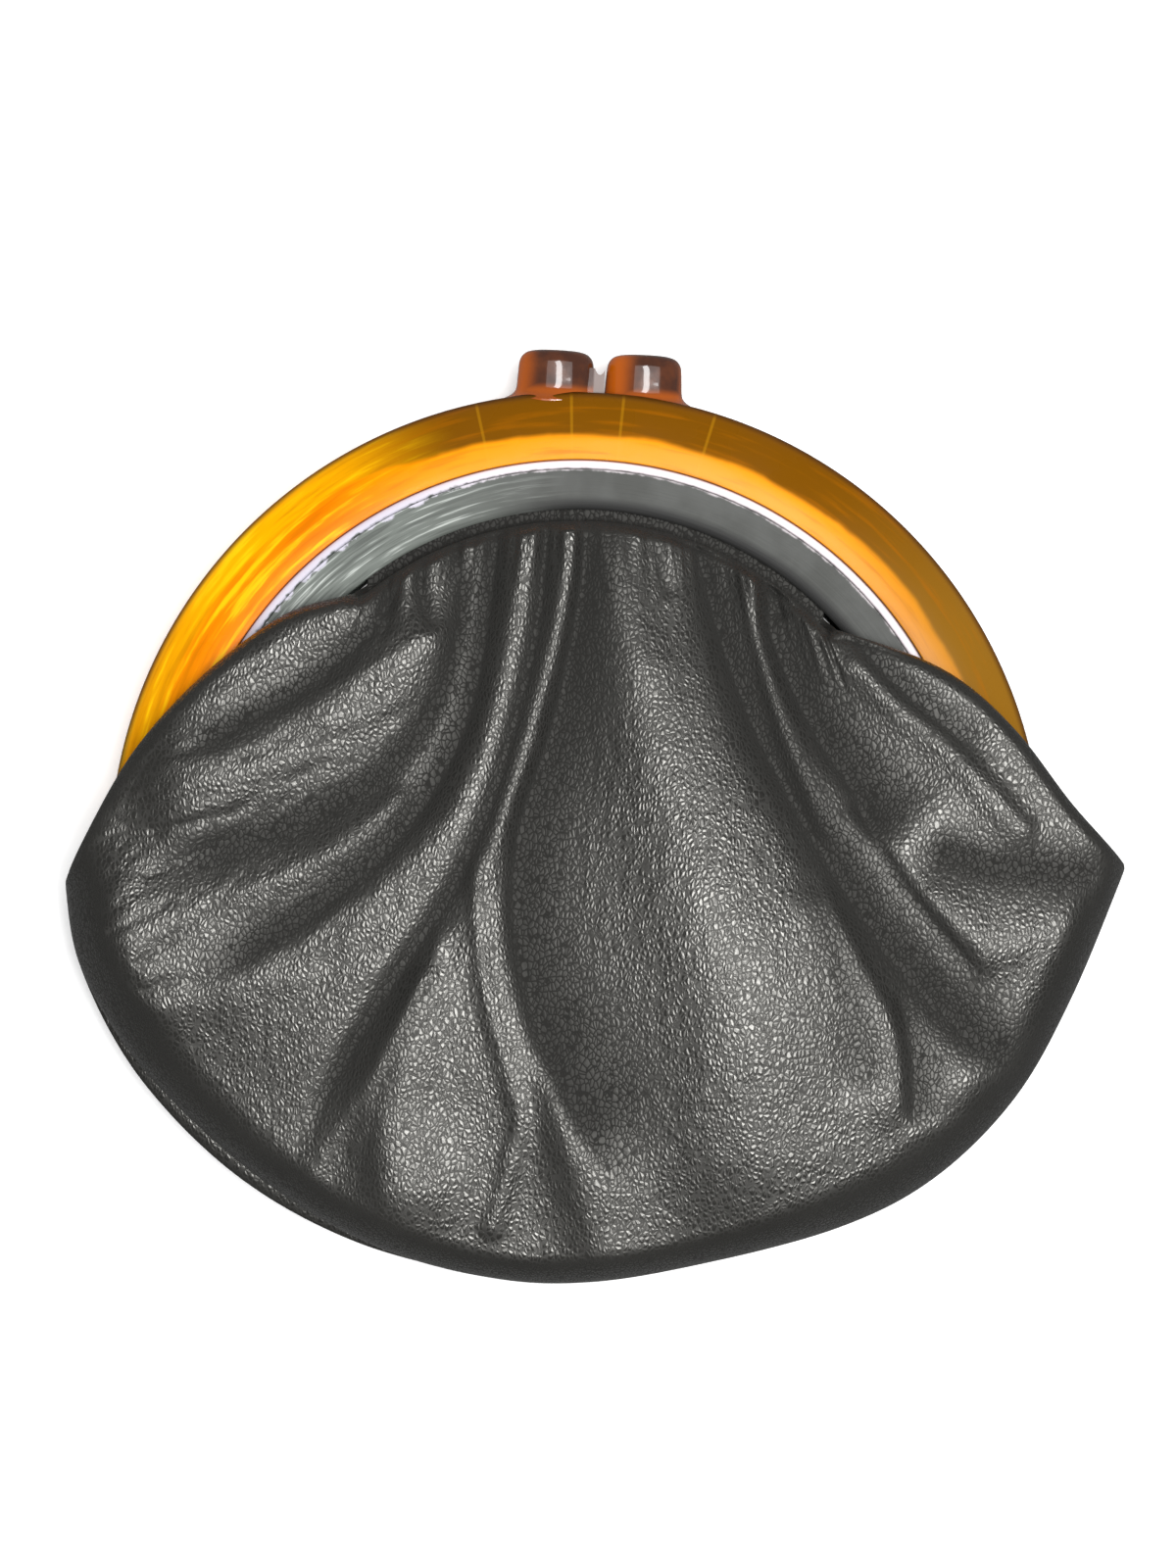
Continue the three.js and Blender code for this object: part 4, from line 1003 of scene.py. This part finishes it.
def channel_material():
    """Grey satin metal with painted light and shade: lighter at the left with painted white highlights
    streaked along the arc there, a painted shadow along the inner edge at the right, and the bead's soft
    lip painted pale as a highlight.
    """
    s = Shader("grey_channel", Specular_IOR_Level=0.25)
    radius, turn = s.polar()
    scratches_and_glints = s.noise(s.along_arc(radius, turn, 0.03), 0.4)
    clouds = s.noise(s.place, 5.0)
    # painted light: the channel is lighter at the left
    left = s.ramp(turn, *CHANNEL_LEFT)
    dull = s.mix(s.ramp(clouds, 0.3, 0.7), colour(0.04, 0.0415, 0.0375), colour(0.056, 0.058, 0.054))
    dull = s.mix(left, dull, colour(0.1, 0.112, 0.1))
    # painted highlights: white streaks along the arc at the left, broken by darker streaks
    white = s.math("MULTIPLY", left, s.ramp(scratches_and_glints, 0.54, 0.7, 0.0, 0.7))
    dull = s.mix(white, dull, colour(0.5, 0.53, 0.5))
    dark = s.math("MULTIPLY", left, s.ramp(scratches_and_glints, 0.48, 0.36, 0.0, 0.7))
    dull = s.mix(dark, dull, colour(0.04, 0.045, 0.04))
    # painted shadow along the inner edge at the right, next to the leather
    inner_edge = s.ramp(radius, *(CHANNEL_INSIDE + distance for distance in SHADED_EDGE))
    shaded = s.math("MULTIPLY", inner_edge, s.ramp(turn, *CHANNEL_SHADED))
    dull = s.mix(shaded, dull, colour(0.007, 0.007, 0.0065))
    # painted highlight: the bead's lip is painted pale, with a ragged edge that is strongest at the left
    ragged = s.noise(s.place, 1.4)
    frayed = s.math("MULTIPLY", s.ramp(left, 0.0, 1.0, 0.3, 1.0), s.ramp(ragged, 0.3, 0.7, -0.4, 0.4))
    uneven = s.math("ADD", radius, frayed)
    lip_highlight = s.ramp(uneven, *(CHANNEL_OUTSIDE - distance for distance in PALE_LIP))
    pale = s.mix(left, colour(0.74, 0.67, 0.7), colour(0.5, 0.48, 0.56))
    s.set("Base Color", s.mix(lip_highlight, dull, pale))
    s.set("Metallic", s.ramp(lip_highlight, 0.0, 1.0, 0.2, 0.0))
    s.set("Roughness", s.ramp(lip_highlight, 0.0, 1.0, 0.5, 0.4))
    s.set("Normal", s.bump(scratches_and_glints, 0.02))
    return s.material


def steel_material():
    s = Shader("turned_steel", Metallic=1.0)
    lines = s.noise(s.scaled(s.place, (6.0, 0.6, 0.6)), 0.8)
    s.set("Base Color", s.mix(lines, colour(0.42, 0.41, 0.4), colour(0.62, 0.61, 0.6)))
    s.set("Roughness", s.ramp(lines, 0.2, 0.8, 0.25, 0.45))
    s.set("Normal", s.bump(lines, 0.01))
    return s.material


def floor_material():
    s = Shader("pale_floor", Roughness=0.9, Specular_IOR_Level=0.1, Emission_Color=colour(1, 1, 1),
               Emission_Strength=0.3)
    s.set("Base Color", s.mix(s.noise(s.place, 40.0), colour(0.9, 0.9, 0.9), colour(0.92, 0.92, 0.92)))
    return s.material


# Camera, floor and lights

def make_camera():
    lens = bpy.data.cameras.new("camera")
    lens.sensor_width = SENSOR
    lens.lens = SENSOR * CAMERA_HEIGHT / FRAME_HEIGHT
    camera = bpy.data.objects.new("camera", lens)
    camera.location = [value * MM for value in (*CAMERA_PLACE, FRAME_FRONT + CAMERA_HEIGHT)]
    camera.rotation_euler = (0, 0, CAMERA_ROLL)
    bpy.context.scene.collection.objects.link(camera)
    bpy.context.scene.camera = camera


def make_floor():
    half = FLOOR_SIZE / 2
    corners = [(-half, -half, 0), (half, -half, 0), (half, half, 0), (-half, half, 0)]
    floor = new_object("floor", corners, [(0, 1, 2, 3)], [floor_material()])
    floor.visible_glossy = False  # the leather's gloss shows the dome instead


def make_light(row):
    """A soft rectangular light that faces the purse."""
    data = bpy.data.lights.new(row.name, "AREA")
    data.shape = "RECTANGLE"
    data.size, data.size_y = row.size
    data.energy = row.power
    light = bpy.data.objects.new(row.name, data)
    light.location = row.place
    light.rotation_euler = (-light.location).to_track_quat("-Z", "Y").to_euler()
    bpy.context.scene.collection.objects.link(light)


def make_world():
    """An even white dome, weaker than the lights."""
    world = bpy.data.worlds.new("studio")
    world.use_nodes = True
    background = world.node_tree.nodes["Background"]
    background.inputs["Color"].default_value = colour(1, 1, 1)
    background.inputs["Strength"].default_value = DOME_STRENGTH
    bpy.context.scene.world = world
    bpy.context.scene.view_settings.view_transform = "Standard"


make_camera()
make_floor()
for light_row in LIGHTS:
    make_light(light_row)
make_world()

leather = leather_material()
flesh_side = flesh_side_material()
amber = amber_material()
clasp_amber = clasp_material()
channel_metal = channel_material()

front_leather = make_front_panel()
back_leather = make_back_panel()
made = [
    (front_leather, "front_panel", "leather"),
    (back_leather, "back_panel", "leather"),
    (make_arch("front_amber_arch", 1), "front_arch", "amber"),
    (make_arch("back_amber_arch", -1), "back_arch", "amber"),
    (make_channel("front_grey_channel", 1), "front_channel", "channel"),
    (make_channel("back_grey_channel", -1), "back_channel", "channel"),
    (make_post("front_post", 1), "front_clasp_post", "clasp"),
    (make_post("back_post", -1), "back_clasp_post", "clasp"),
]
for piece, node, slot in made:
    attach(piece, "root")
    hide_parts(node)

steel = steel_material()
for pin in ("left_hinge_pin", "right_hinge_pin"):
    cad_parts[pin].data.materials.clear()
    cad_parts[pin].data.materials.append(steel)
